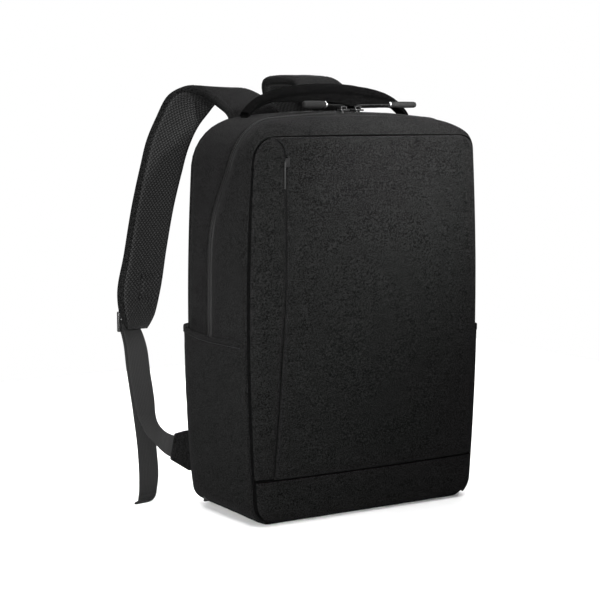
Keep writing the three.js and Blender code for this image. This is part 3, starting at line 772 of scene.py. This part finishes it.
def back_cushion(name, node, middle_x, low_z, high_z, half_width, channels):
    start_y, thickness = 75.6, 8.2
    bm = bmesh.new()
    bmesh.ops.create_cube(bm, size=1)
    size = (2 * half_width - 4, thickness - 2, high_z - low_z - 4)
    middle = (middle_x, start_y + thickness / 2, (low_z + high_z) / 2)
    bmesh.ops.scale(bm, vec=size, verts=bm.verts)
    bmesh.ops.translate(bm, vec=middle, verts=bm.verts)
    upright = [edge for edge in bm.edges
               if abs(edge.verts[0].co.y - edge.verts[1].co.y) > 1]
    round_edges(bm, upright, 22, 8)
    piece = finish_piece(name, bm, [back_mesh], "air_mesh", node, body="root")
    inflate(piece, 0.004, 3.0, 0.004)
    smooth_out = piece.modifiers.new("rounder", "SUBSURF")
    smooth_out.levels = smooth_out.render_levels = 1
    apply_modifiers(piece)
    for vert in piece.data.vertices:
        x, y, z = vert.co * 1000
        rim = min(half_width - abs(x - middle_x), z - low_z, high_z - z)
        groove = sum(2.6 * math.exp(-((z - channel) / 3.0) ** 2) for channel in channels)
        top = start_y + thickness * (1 - math.exp(-max(rim, 0) / 7)) - groove
        if y > start_y + thickness * 0.4:
            y = max(top, start_y + 0.8)
        y = max(y, start_y)
        vert.co.y = y / 1000
    for polygon in piece.data.polygons:
        polygon.use_smooth = True
    return piece


for side, sign in (("left", -1), ("right", 1)):
    back_cushion(f"back_cushion_{side}", f"back_pad_{side}", sign * 68, 99, 389, 52,
                 (170, 244, 318))
back_cushion("lumbar_cushion", "lumbar_pad", 0, 24, 92, 112, ())


# Yoke: a doubled patch of dark cloth across the top of the back, over the strap ends.
def flat_patch(low, high, corner, crown):
    """A thin closed patch facing +y, with rounded corners and a softly rounded edge."""
    middle = (Vector(low) + Vector(high)) / 2
    half = (Vector(high) - Vector(low)) / 2

    def place(u, v):
        turn = 2 * math.pi * u
        power = 2 * corner
        c, s = math.cos(turn), math.sin(turn)
        x = half.x * squared(c, power)
        z = half.z * squared(s, power)
        lie = 2 * v - 1
        size = math.sqrt(max(1 - abs(lie) ** 2.2, 0)) ** 0.35 if abs(lie) < 1 else 0
        size = size if abs(lie) < 0.5 else size * (1 - ((abs(lie) - 0.5) / 0.5) ** 2 * 0.98)
        y = half.y * math.sin(math.pi / 2 * max(min(lie * 2.2, 1), -1))
        if lie > 0.45:
            y += crown * (1 - size**2)
        return Vector((middle.x + x * size, middle.y + y, middle.z + z * size))
    return closed_sweep(64, 18, place)


def box_mm(node):
    low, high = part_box(node)
    return Vector(low) * 1000, Vector(high) * 1000


finish_piece("yoke_patch", flat_patch(*box_mm("yoke_panel"), 0.12, 0.2), [dark_cloth],
             "dark_fabric", "yoke_panel", body="root")


# Shoulder straps: contoured foam straps sewn on under the yoke. Shell cloth covers the outside
# and wraps round both edges, and spacer mesh faces the wearer inside a sewn edge.
def along_pairs(pairs, spacing):
    """Even stations along a band given by pairs of points on its two edges."""
    rows = [(Vector(a), Vector(b)) for a, b in pairs]
    middles = [(a + b) / 2 for a, b in rows]
    lengths = [(q - p).length for p, q in zip(middles, middles[1:])]
    stations = []
    for i, length in enumerate(lengths):
        count = max(round(length / spacing), 1)
        for k in range(count):
            t = k / count
            station = []
            for edge in (0, 1):
                a, b = rows[i][edge], rows[i + 1][edge]
                before = rows[i - 1][edge] if i else a * 2 - b
                after = rows[i + 2][edge] if i + 2 < len(rows) else b * 2 - a
                d0 = lengths[i - 1] if i else length
                d2 = lengths[i + 1] if i + 2 < len(rows) else length
                m1 = ((b - a) * d0 / length + (a - before) * length / d0) / (d0 + length) * length
                m2 = ((after - b) * length / d2 + (b - a) * d2 / length) / (d2 + length) * length
                station.append(a * (2 * t**3 - 3 * t**2 + 1) + m1 * (t**3 - 2 * t**2 + t)
                               + b * (3 * t**2 - 2 * t**3) + m2 * (t**3 - t**2))
            stations.append(tuple(station))
    stations.append(rows[-1])
    frames = []
    travelled = 0.0
    for i, (a, b) in enumerate(stations):
        first, last = stations[max(i - 1, 0)], stations[min(i + 1, len(stations) - 1)]
        if i:
            travelled += ((a + b) / 2 - (stations[i - 1][0] + stations[i - 1][1]) / 2).length
        heading = ((last[0] + last[1]) - (first[0] + first[1])).normalized()
        across = (b - a).normalized()
        normal = across.cross(heading).normalized()
        frames.append(((a + b) / 2, across, normal, (b - a).length / 2, travelled))
    return frames


def band_point(frames, v, s, out, facing):
    """A point on a band: s runs from -1 to 1 across it and out is the height off its middle."""
    index = v * (len(frames) - 1)
    middle, across, normal, half, travelled = frames[min(round(index), len(frames) - 1)]
    return middle + across * (half * s) + normal * (facing * out)


# The strap's section: how far across (1 is an edge) and how high (1 is the full foam), going
# round from the middle of the outside. The low points beside the mesh are its sewn edge.
STRAP_SECTION = [
    (0, 1.0), (0.35, 1.0), (0.7, 0.97), (0.88, 0.86), (0.965, 0.6), (1, 0.25), (0.995, -0.25),
    (0.955, -0.62), (0.885, -0.82), (0.86, -0.70), (0.835, -0.90), (0.77, -1.03), (0.35, -1.04),
    (0, -1.0)]
STRAP_STITCH = 9  # index of the sewn edge
STRAP_EDGE_ROWS = {"low": 0.1027, "high": 0.8973}  # places on the section of the two stitch rows


def strap_section(u):
    """The section at u, from 0 to 1 round the strap, and whether it is on the mesh."""
    lap = abs(2 * u - 1)  # 1 on the outside's middle, 0 on the mesh's middle
    at = (1 - lap) * (len(STRAP_SECTION) - 1)
    i = min(int(at), len(STRAP_SECTION) - 2)
    (s0, h0), (s1, h1) = STRAP_SECTION[i], STRAP_SECTION[i + 1]
    side = -1 if u < 0.5 else 1
    return side * (s0 + (s1 - s0) * (at - i)), h0 + (h1 - h0) * (at - i), at > STRAP_STITCH


def strap(side, facing, pairs):
    frames = along_pairs(pairs, 4.5)
    rows = len(frames) - 1
    length = frames[-1][4]

    def place(u, v):
        s, height, on_mesh = strap_section(u)
        travelled = frames[round(v * rows)][4]
        left = length - travelled
        taper = min(travelled / 62, 1)
        body = 1.2 + 4.8 * (taper * taper * (3 - 2 * taper))
        body *= min(math.sqrt(max(left, 0) / 16), 1)
        out = body * height
        if on_mesh:
            across = s * facing
            window = 1 / (1 + math.exp(-(across + 0.10) / 0.04))
            window /= 1 + math.exp((across - 0.66) / 0.07)
            pinch = math.exp(-((left - 37) / 3.4) ** 2) + math.exp(-((left - 61) / 3.4) ** 2)
            out += 4.0 * pinch * window
            if 34 < left < 66:
                out += 2.4 * math.exp(-((across + 0.1) / 0.05) ** 2)
        elif abs(s) < 0.9:
            out += pucker(Vector((s * 20, travelled, 50 * facing)), 0.5, 0.05)
        return band_point(frames, v, s, out, facing)

    def chart(u, v):
        return strap_section(u)[0] * 32, frames[round(v * rows)][4]
    bm = closed_sweep(4 * 26, rows, place, chart, lambda u, v: 1 if strap_section(u)[2] else 0)
    piece = finish_piece(f"shoulder_strap_{side}", bm, [shell_cloth, strap_mesh], "shell_fabric",
                         f"strap_pad_{side}", f"strap_mesh_{side}", f"strap_root_{side}")
    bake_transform(piece)
    for edge, u in STRAP_EDGE_ROWS.items():
        sewn = [place(u, i / rows) for i in range(2, rows - 2)]
        outward = [frames[i][2] * facing for i in range(2, rows - 2)]
        stitches = stitch_row(f"strap_stitches_{side}_{edge}", sewn, outward, 3.2)
        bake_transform(stitches)


strap("left", 1, [
    ((-89, 80.2, 408), (-29, 80.2, 408)), ((-91, 81, 428), (-27, 81, 428)),
    ((-92, 83, 446), (-26, 83, 448)), ((-99, 101, 462), (-36, 104, 469)),
    ((-110, 120, 475), (-52, 124, 475)), ((-124, 134, 479), (-72, 139, 467)),
    ((-140, 140, 471), (-88, 144, 448)), ((-156, 141, 444), (-102, 145, 430)),
    ((-168, 140, 420), (-113, 145, 408)), ((-178, 138, 388), (-122, 145, 380)),
    ((-189, 136, 348), (-132, 145, 345)), ((-203, 131, 288), (-144, 145, 289)),
    ((-214, 127, 240), (-154, 143, 240)), ((-211, 127, 218), (-163, 140, 214)),
    ((-204, 128, 200), (-172, 138, 198))])
strap("right", -1, [
    ((89, 80.2, 408), (29, 80.2, 408)), ((91, 81, 428), (27, 81, 428)),
    ((92, 83, 446), (26, 83, 448)), ((84, 87, 468), (16, 89, 470)),
    ((66, 93, 486), (2, 97, 487)), ((52, 112, 490), (-8, 118, 490)),
    ((48, 132, 488), (-14, 137, 487)), ((58, 143, 473), (-6, 147, 467)),
    ((84, 146, 452), (24, 149, 440)), ((112, 146, 424), (56, 150, 406)),
    ((140, 144, 392), (84, 149, 376)), ((164, 141, 354), (106, 148, 343)),
    ((178, 136, 306), (120, 146, 300)), ((175, 134, 284), (129, 144, 280)),
    ((168, 134, 266), (138, 142, 264))])


# Webbing: ribbed polyester tape 25 mm wide. One length runs from a wing on the back seam up to
# the ladder lock, and its free end hangs down behind, with a folded and stitched tip.
def ribbed_webbing():
    material, surface, nodes, links = shader("webbing_tape", 0.6, 0.01, 0.5, 0.08)
    chart = nodes.new("ShaderNodeUVMap").outputs["UV"]
    cross_ribs = threads(nodes, links, chart, 0.30, "Y")
    long_ribs = threads(nodes, links, chart, 0.16, "X")
    weave = combine(nodes, links, "ADD", combine(nodes, links, "MULTIPLY", cross_ribs, 0.6),
                    combine(nodes, links, "MULTIPLY", long_ribs, 0.4))
    links.new(two_tone(nodes, links, weave, grey(0.005), grey(0.018), 0.1, 0.8),
              surface.inputs["Base Color"])
    raise_surface(nodes, links, surface, weave, 0.0005, 0.9)
    return material


webbing_cloth = ribbed_webbing()


def webbing(name, node, pairs, thickness, *more_nodes):
    frames = along_pairs(pairs, 4)
    rows = len(frames) - 1

    def section(u):
        turn = 2 * math.pi * u
        return (squared(math.cos(turn), 0.35),
                squared(math.sin(turn), 0.5))

    def place(u, v):
        s, out = section(u)
        return band_point(frames, v, s, out * thickness / 2, 1)
    bm = closed_sweep(28, rows, place,
                      lambda u, v: (section(u)[0] * 12.5, frames[round(v * rows)][4]))
    return finish_piece(name, bm, [webbing_cloth], "webbing", node, *more_nodes)


loop_left = webbing("lower_webbing_left", "webbing_loop_left", [
    ((-163, 79.6, 50), (-158, 79.9, 76)), ((-175, 82, 56), (-169.5, 84, 80)),
    ((-182, 98, 66), (-172, 101, 84)),
    ((-190, 107, 78), (-174, 108, 90)), ((-196, 114, 96), (-174, 114, 98)),
    ((-199, 119, 118), (-174, 117, 116)), ((-201, 126, 150), (-176, 123, 148)),
    ((-202.5, 131, 182), (-178.5, 129, 182)), ((-204, 138, 198), (-180, 140, 198)),
    ((-205, 146, 205), (-181, 150, 205))], 1.6)
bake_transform(loop_left)
loop_right = webbing("lower_webbing_right", "webbing_loop_right", [
    ((163, 79.6, 50), (158, 79.9, 76)), ((175, 82, 56), (169.5, 84, 80)),
    ((183, 99, 70), (170, 101, 88)),
    ((184, 108, 96), (162, 108, 102)), ((180, 116, 138), (156, 113, 138)),
    ((174, 127, 200), (149, 124, 200)), ((169, 132, 246), (144, 129, 246)),
    ((167.5, 141, 262), (142.5, 144, 262)), ((167, 149, 270), (142, 154, 270))], 1.6)
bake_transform(loop_right)
tail_left = webbing("hanging_webbing_left", "webbing_tail_left", [
    ((-206, 148, 203), (-181, 153, 203)), ((-205.5, 141, 196), (-180.5, 145, 196)),
    ((-205, 136, 186), (-180, 139, 186)), ((-203, 132, 155), (-178, 131, 155)),
    ((-199, 123, 100), (-174, 122, 100)), ((-198, 114, 56), (-173, 114, 55)),
    ((-200, 107, 25), (-175, 107, 25)), ((-203, 102, 9), (-179, 104, 9)),
    ((-203.4, 101.4, 8.4), (-179.4, 103.4, 8.4))], 1.6)
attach(tail_left, "strap_left")
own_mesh(tail_left)
tail_right = webbing("hanging_webbing_right", "webbing_tail_right", [
    ((168, 152, 268), (143, 157, 268)), ((170, 145, 260), (145, 149, 260)),
    ((171, 141, 250), (146, 145, 250)), ((174, 137, 200), (149, 139, 200)),
    ((176, 131, 130), (151, 132, 130)), ((176, 127, 65.6), (151, 127, 65.6))], 1.6)
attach(tail_right, "strap_right")
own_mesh(tail_right)
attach(webbing("webbing_tip_left", "tail_hem_left", [
    ((-203.4, 101.4, 8.4), (-179.4, 103.4, 8.4)), ((-206, 98, 3), (-183, 101, 3)),
    ((-214, 91, 2.1), (-190, 96, 2.1))], 3.2), "tail_left")
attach(webbing("webbing_tip_right", "tail_hem_right", [
    ((176, 127, 65.6), (151, 127, 65.6)), ((176, 127, 52), (151, 127, 52))], 3.2), "tail_right")


# Wings: small triangles of doubled shell cloth that hold the webbing at the back seam.
def wing(side, sign):
    bm = bmesh.new()
    outline = [(-138, 36), (-150, 36), (-174, 52), (-168, 82), (-154, 84), (-138, 84)]
    face = bm.faces.new([bm.verts.new((-sign * x, 75.4, z)) for x, z in outline])
    grown = bmesh.ops.extrude_face_region(bm, geom=[face])
    moved = [item for item in grown["geom"] if isinstance(item, bmesh.types.BMVert)]
    bmesh.ops.translate(bm, vec=(0, 3.8, 0), verts=moved)
    bmesh.ops.recalc_face_normals(bm, faces=bm.faces)
    round_edges(bm, bm.edges[:], 1.4, 3)
    finish_piece(f"wing_{side}", bm, [shell_cloth], "dark_fabric", f"webbing_wing_{side}",
                 body="root")


wing("left", -1)
wing("right", 1)


# Ladder locks and metal parts: black moulded acetal, satin, with fine tooling grain.
def moulded(name, colour, roughness, metallic=0.0, specular=0.5):
    material, surface, nodes, links = shader(name, roughness, specular=specular)
    surface.inputs["Metallic"].default_value = metallic
    place = nodes.new("ShaderNodeTexCoord").outputs["Object"]
    grain = speckle(nodes, links, place, 1400, 2)
    darker = tuple(0.8 * value for value in colour)
    links.new(two_tone(nodes, links, grain, darker, colour, 0.3, 0.7), surface.inputs["Base Color"])
    raise_surface(nodes, links, surface, grain, 0.0001, 0.5)
    return material


buckle_plastic = moulded("buckle_acetal", grey(0.008), 0.35)
slider_metal = moulded("slider_lacquer", grey(0.012), 0.35, 0.6)
grip_rubber = moulded("grip_moulding", grey(0.0075), 0.6, 0, 0.05)
pull_rubber = moulded("pull_rubber", grey(0.016), 0.6, 0, 0.1)
collar_metal = moulded("collar_nickel", (0.6, 0.6, 0.62), 0.25, 1.0)


def add_block(bm, low, high, radius, segments=3):
    """A box with rounded edges added to a mesh."""
    made = bmesh.ops.create_cube(bm, size=1)["verts"]
    size = Vector(high) - Vector(low)
    bmesh.ops.scale(bm, vec=size, verts=made)
    bmesh.ops.translate(bm, vec=(Vector(high) + Vector(low)) / 2, verts=made)
    edges = list({edge for vert in made for edge in vert.link_edges})
    round_edges(bm, edges, radius, segments)


def ladder_lock(side, place, turn_degrees):
    turn = math.radians(turn_degrees)

    def put(bm):
        bmesh.ops.rotate(bm, cent=(0, 0, 0), matrix=Matrix.Rotation(turn, 3, "Z"), verts=bm.verts)
        bmesh.ops.translate(bm, vec=place, verts=bm.verts)
        return bm
    bm = bmesh.new()
    for x in (-17, 13):
        add_block(bm, (x, 9.6, -12), (x + 4, 13.6, 12), 1.2)
    for low, high in ((-12, -8), (-3, 2), (7.5, 12)):
        add_block(bm, (-16, 9.8, low), (16, 13.4, high), 1.1)
    finish_piece(f"lock_{side}_frame", put(bm), [buckle_plastic], "buckle_plastic",
                 f"ladder_lock_{side}", body=f"lock_{side}")

    def leaf(u, v):
        course = [(26, 8.2), (16, 8.2), (7.2, 8.2), (6.0, 9.4), (6.3, 11.6), (6.0, 13.8),
                  (7.2, 15.0), (14, 15.0), (20, 15.0)]
        at = v * (len(course) - 1)
        i = min(int(at), len(course) - 2)
        (z0, y0), (z1, y1) = course[i], course[i + 1]
        z, y = z0 + (z1 - z0) * (at - i), y0 + (y1 - y0) * (at - i)
        heading = Vector((0, y1 - y0, z1 - z0)).normalized()
        normal = Vector((1, 0, 0)).cross(heading)
        turned = 2 * math.pi * u
        s = squared(math.cos(turned), 0.35)
        out = squared(math.sin(turned), 0.5)
        return Vector((12.5 * s, y, z)) + normal * (0.6 * out)
    loop = closed_sweep(24, 40, leaf, lambda u, v: (25 * u, 45 * v))
    finish_piece(f"lock_{side}_loop", put(loop), [webbing_cloth], "webbing",
                 f"lock_loop_{side}", body=f"strap_{side}")


ladder_lock("left", (-190, 133, 208), 15)
ladder_lock("right", (154, 140, 274), -13)

# Grab handle: foam in dark cloth, sewn along its lower edge, its ends let into the top panel.
HANDLE_REACH = 108
HANDLE_LIP_Z = 463.5


def handle_half(side, sign):
    def place(u, v):
        reach = v
        x = sign * HANDLE_REACH * reach
        middle = 477 - 16 * reach**2 - 13 * reach**8
        thickness = 7.5 - 4 * reach**3
        width = 13 - 2 * reach**2
        turn = 2 * math.pi * u
        y = width * squared(math.cos(turn), 0.85)
        z = thickness * squared(math.sin(turn), 0.85)
        # the two sewn lips hang from the padded roll, level with each other
        lip = math.exp(-((abs(y) - 0.80 * width) / (0.13 * width)) ** 2) if z < 0 else 0
        low = HANDLE_LIP_Z - (6.5 * min(reach / 0.35, 1) if sign > 0 else 0)
        drop = max(middle - 0.6 * thickness - low, 0) * lip
        pinch = 1.6 * math.exp(-((z + 0.35 * thickness) / 1.1) ** 2) if abs(y) > width * 0.6 else 0
        y -= math.copysign(pinch, y)
        gather = 0.5 * math.sin(x * 0.55) * reach**4
        wrinkle = pucker(Vector((x, y * 2, z * 2)), 0.8, 0.03)
        return Vector((x, 16 + y + math.copysign(gather, y), middle + z - drop + wrinkle))
    bm = shaped_grid(96, 64, place)
    bmesh.ops.remove_doubles(bm, verts=bm.verts, dist=0.001)
    bmesh.ops.recalc_face_normals(bm, faces=bm.faces)
    piece = finish_piece(f"handle_{side}_half", bm, [dark_cloth], "dark_fabric",
                         f"handle_end_{side}")
    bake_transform(piece)
    return piece


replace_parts(handle_half("left", -1), "grab_handle")
handle_half("right", 1)


# Zip sliders: small lacquered castings astride the zip, each with a bridge for its pull.
def slider_top(x):
    return 446 + 5.5 * (1 - (x / 100) ** 2)


def main_slider(side, x):
    top = slider_top(x)
    bm = bmesh.new()
    add_block(bm, (x - 6, -40.5, top + 1.6), (x + 6, -31.5, top + 3.6), 0.9)
    add_block(bm, (x - 2.5, -36.8, top - 4.6), (x + 2.5, -35.2, top + 2), 0.3, 2)
    add_block(bm, (x - 5, -40, top - 6), (x + 5, -32, top - 4.4), 0.6)
    add_block(bm, (x - 4, -37.5, top + 3.0), (x - 2.6, -34.5, top + 7), 0.5)
    add_block(bm, (x + 2.6, -37.5, top + 3.0), (x + 4, -34.5, top + 7), 0.5)
    add_block(bm, (x - 4, -37.5, top + 5.8), (x + 4, -34.5, top + 7), 0.5)
    finish_piece(f"slider_{side}_casting", bm, [slider_metal], "buckle_plastic",
                 f"zip_slider_{side}", body=f"slider_{side}")


main_slider("left", -10)
main_slider("right", 9)


# Zip pulls: a doubled thin cord from the bridge into a moulded round grip with a ring at its
# mouth. Profiles are pairs of distance along the grip and radius.
def turned(profile, base, heading, sides=24):
    side_way = Vector((0, 0, 1)).cross(heading).normalized()

    def place(u, v):
        at = v * (len(profile) - 1)
        i = min(int(at), len(profile) - 2)
        (a0, r0), (a1, r1) = profile[i], profile[i + 1]
        along, radius = a0 + (a1 - a0) * (at - i), r0 + (r1 - r0) * (at - i)
        turn = 2 * math.pi * u
        return base + heading * along + radius * (
            side_way * math.cos(turn) + Vector((0, 0, 1)) * math.sin(turn))
    return closed_sweep(sides, 3 * (len(profile) - 1), place)


def cord_point(base, heading, side_way, line, offset, u, v):
    at = v * (len(line) - 1)
    i = min(int(at), len(line) - 2)
    (a0, w0), (a1, w1) = line[i], line[i + 1]
    along, width = a0 + (a1 - a0) * (at - i), w0 + (w1 - w0) * (at - i)
    turn = 2 * math.pi * u
    return (base + heading * along + side_way * (offset * width + 0.75 * math.cos(turn))
            + Vector((0, 0, 0.75 * math.sin(turn) - 1.2 * (1 - v) ** 2)))


def zip_pull(side, x, heading_degrees, reach, radius, spread):
    turn = math.radians(heading_degrees)
    heading = Vector((math.cos(turn), math.sin(turn), 0))
    side_way = Vector((0, 0, 1)).cross(heading)
    base = Vector((x, -36, slider_top(x) + 8.6))
    strands = bmesh.new()
    for offset in (-spread, spread):
        line = [(-1.5, 0.3), (3, 0.8), (8, 1.0), (reach * 0.6, 1.0), (reach + 1, 0.8)]
        part = closed_sweep(10, 40, lambda u, v: cord_point(
            base, heading, side_way, line, offset, u, v))
        scratch = bpy.data.meshes.new("strand")
        part.to_mesh(scratch)
        part.free()
        strands.from_mesh(scratch)
        bpy.data.meshes.remove(scratch)
    finish_piece(f"pull_{side}_cord", strands, [zip_cloth], "stem_rubber", f"pull_stem_{side}",
                 body=f"pull_{side}")
    mouth = base + heading * reach
    grip = turned([
        (0, 0.01), (0, radius * 0.7), (0.8, radius * 0.92), (3.2, radius), (4.4, radius * 0.9),
        (5.2, radius * 0.9), (6.2, radius), (18, radius * 1.02), (30, radius * 0.97),
        (32.2, radius * 0.8), (33, radius * 0.5), (33, 0.01)], mouth, heading)
    finish_piece(f"pull_{side}_grip", grip, [grip_rubber], "grip_rubber", f"pull_grip_{side}",
                 body=f"pull_{side}")
    ring = turned([
        (-1.6, radius * 0.4), (-1.6, radius * 0.75), (-0.9, radius * 0.9), (0.1, radius * 0.9),
        (0.4, radius * 0.4)], mouth, heading)
    finish_piece(f"pull_{side}_collar", ring, [collar_metal], "buckle_plastic", body=f"pull_{side}")


zip_pull("left", -10, 193, 30, 4.3, 0.8)
zip_pull("right", 9, -6, 42, 3.6, 2.2)


# Front pocket zip: it lies behind the seam beside the panel; only its slider and a slim
# rubber pull show.
def pocket_tape():
    def place(u, v):
        z = 218 + 184 * v
        x = pocket_seam(z) - 7 + 14 * u
        return Vector((x, face_y(x, z) + 4.6, z))
    bm = shaped_grid(6, 60, place, chart=lambda u, v: (14 * u, 184 * v))
    turn_outward(bm)
    return bm


finish_piece("pocket_zip_cloth", pocket_tape(), [zip_cloth], "zip_tape", "pocket_zip_tape",
             body="lid", wall=1)
slider_bm = bmesh.new()
add_block(slider_bm, (-114.2, -84.4, 394), (-108.6, -82.4, 403), 0.7)
add_block(slider_bm, (-110.4, -83.6, 395), (-109.0, -79, 400), 0.3, 2)
add_block(slider_bm, (-115.8, -85.6, 397), (-113.2, -83.6, 400), 0.5)
finish_piece("pocket_slider_casting", slider_bm, [grip_rubber], "buckle_plastic",
             "pocket_zip_slider", body="pocket_slider")
pull_bm = bmesh.new()
add_block(pull_bm, (-116.2, -86.0, 370.4), (-114.8, -84.6, 399.2), 0.5)
finish_piece("pocket_pull_tab", pull_bm, [pull_rubber], "grip_rubber", "pocket_zip_pull",
             body="pocket_pull")


# Inside: a padded laptop sleeve with a bound edge, the front pocket's lining and a stiff board.
def hanging_sheet(low, high, belly, columns, rows):
    """An upright sheet facing -y that sags by the belly between its edges."""
    def place(u, v):
        x = low.x + (high.x - low.x) * u
        z = low.z + (high.z - low.z) * v
        y = (low.y + high.y) / 2 + belly * math.sin(math.pi * u) * math.sin(math.pi * min(v, 0.9))
        return Vector((x, y + pucker(Vector((x, 0, z)), 0.8), z))
    bm = shaped_grid(columns, rows, place)
    bm.normal_update()
    if sum(face.normal.y for face in bm.faces) > 0:
        bmesh.ops.reverse_faces(bm, faces=bm.faces)
    return bm


sleeve_low, sleeve_high = box_mm("laptop_sleeve")
finish_piece("laptop_sleeve_cloth", hanging_sheet(sleeve_low, sleeve_high, -1.0, 40, 44),
             [lining_cloth], "lining", "laptop_sleeve", body="root", wall=2.6)
binding_low, binding_high = box_mm("sleeve_binding")


def binding_place(u, v):
    turn = 2 * math.pi * u
    x = binding_low.x + (binding_high.x - binding_low.x) * v
    middle = (binding_low + binding_high) / 2
    return Vector((x, middle.y + 2.4 * math.cos(turn) - math.sin(math.pi * v),
                   middle.z + 3.8 * squared(math.sin(turn), 0.6)))


finish_piece("sleeve_edge_binding",
             closed_sweep(20, 60, binding_place, lambda u, v: (20 * u, 292 * v)),
             [webbing_cloth], "dark_fabric", "sleeve_binding", body="root")
lining_low = box_mm("pocket_lining_lower")[0] + Vector((7, 0, 0))
lining_high = box_mm("pocket_lining_upper")[1] - Vector((7, 0, 0))
lining = finish_piece("front_pocket_lining", hanging_sheet(lining_low, lining_high, 0.6, 34, 48),
                      [lining_cloth], "lining", "pocket_lining_lower", "pocket_lining_upper",
                      wall=0.8)
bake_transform(lining)
board_paint = moulded("board_grey", grey(0.03), 0.6)
for slot_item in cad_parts["base_board"].material_slots:
    slot_item.material = board_paint
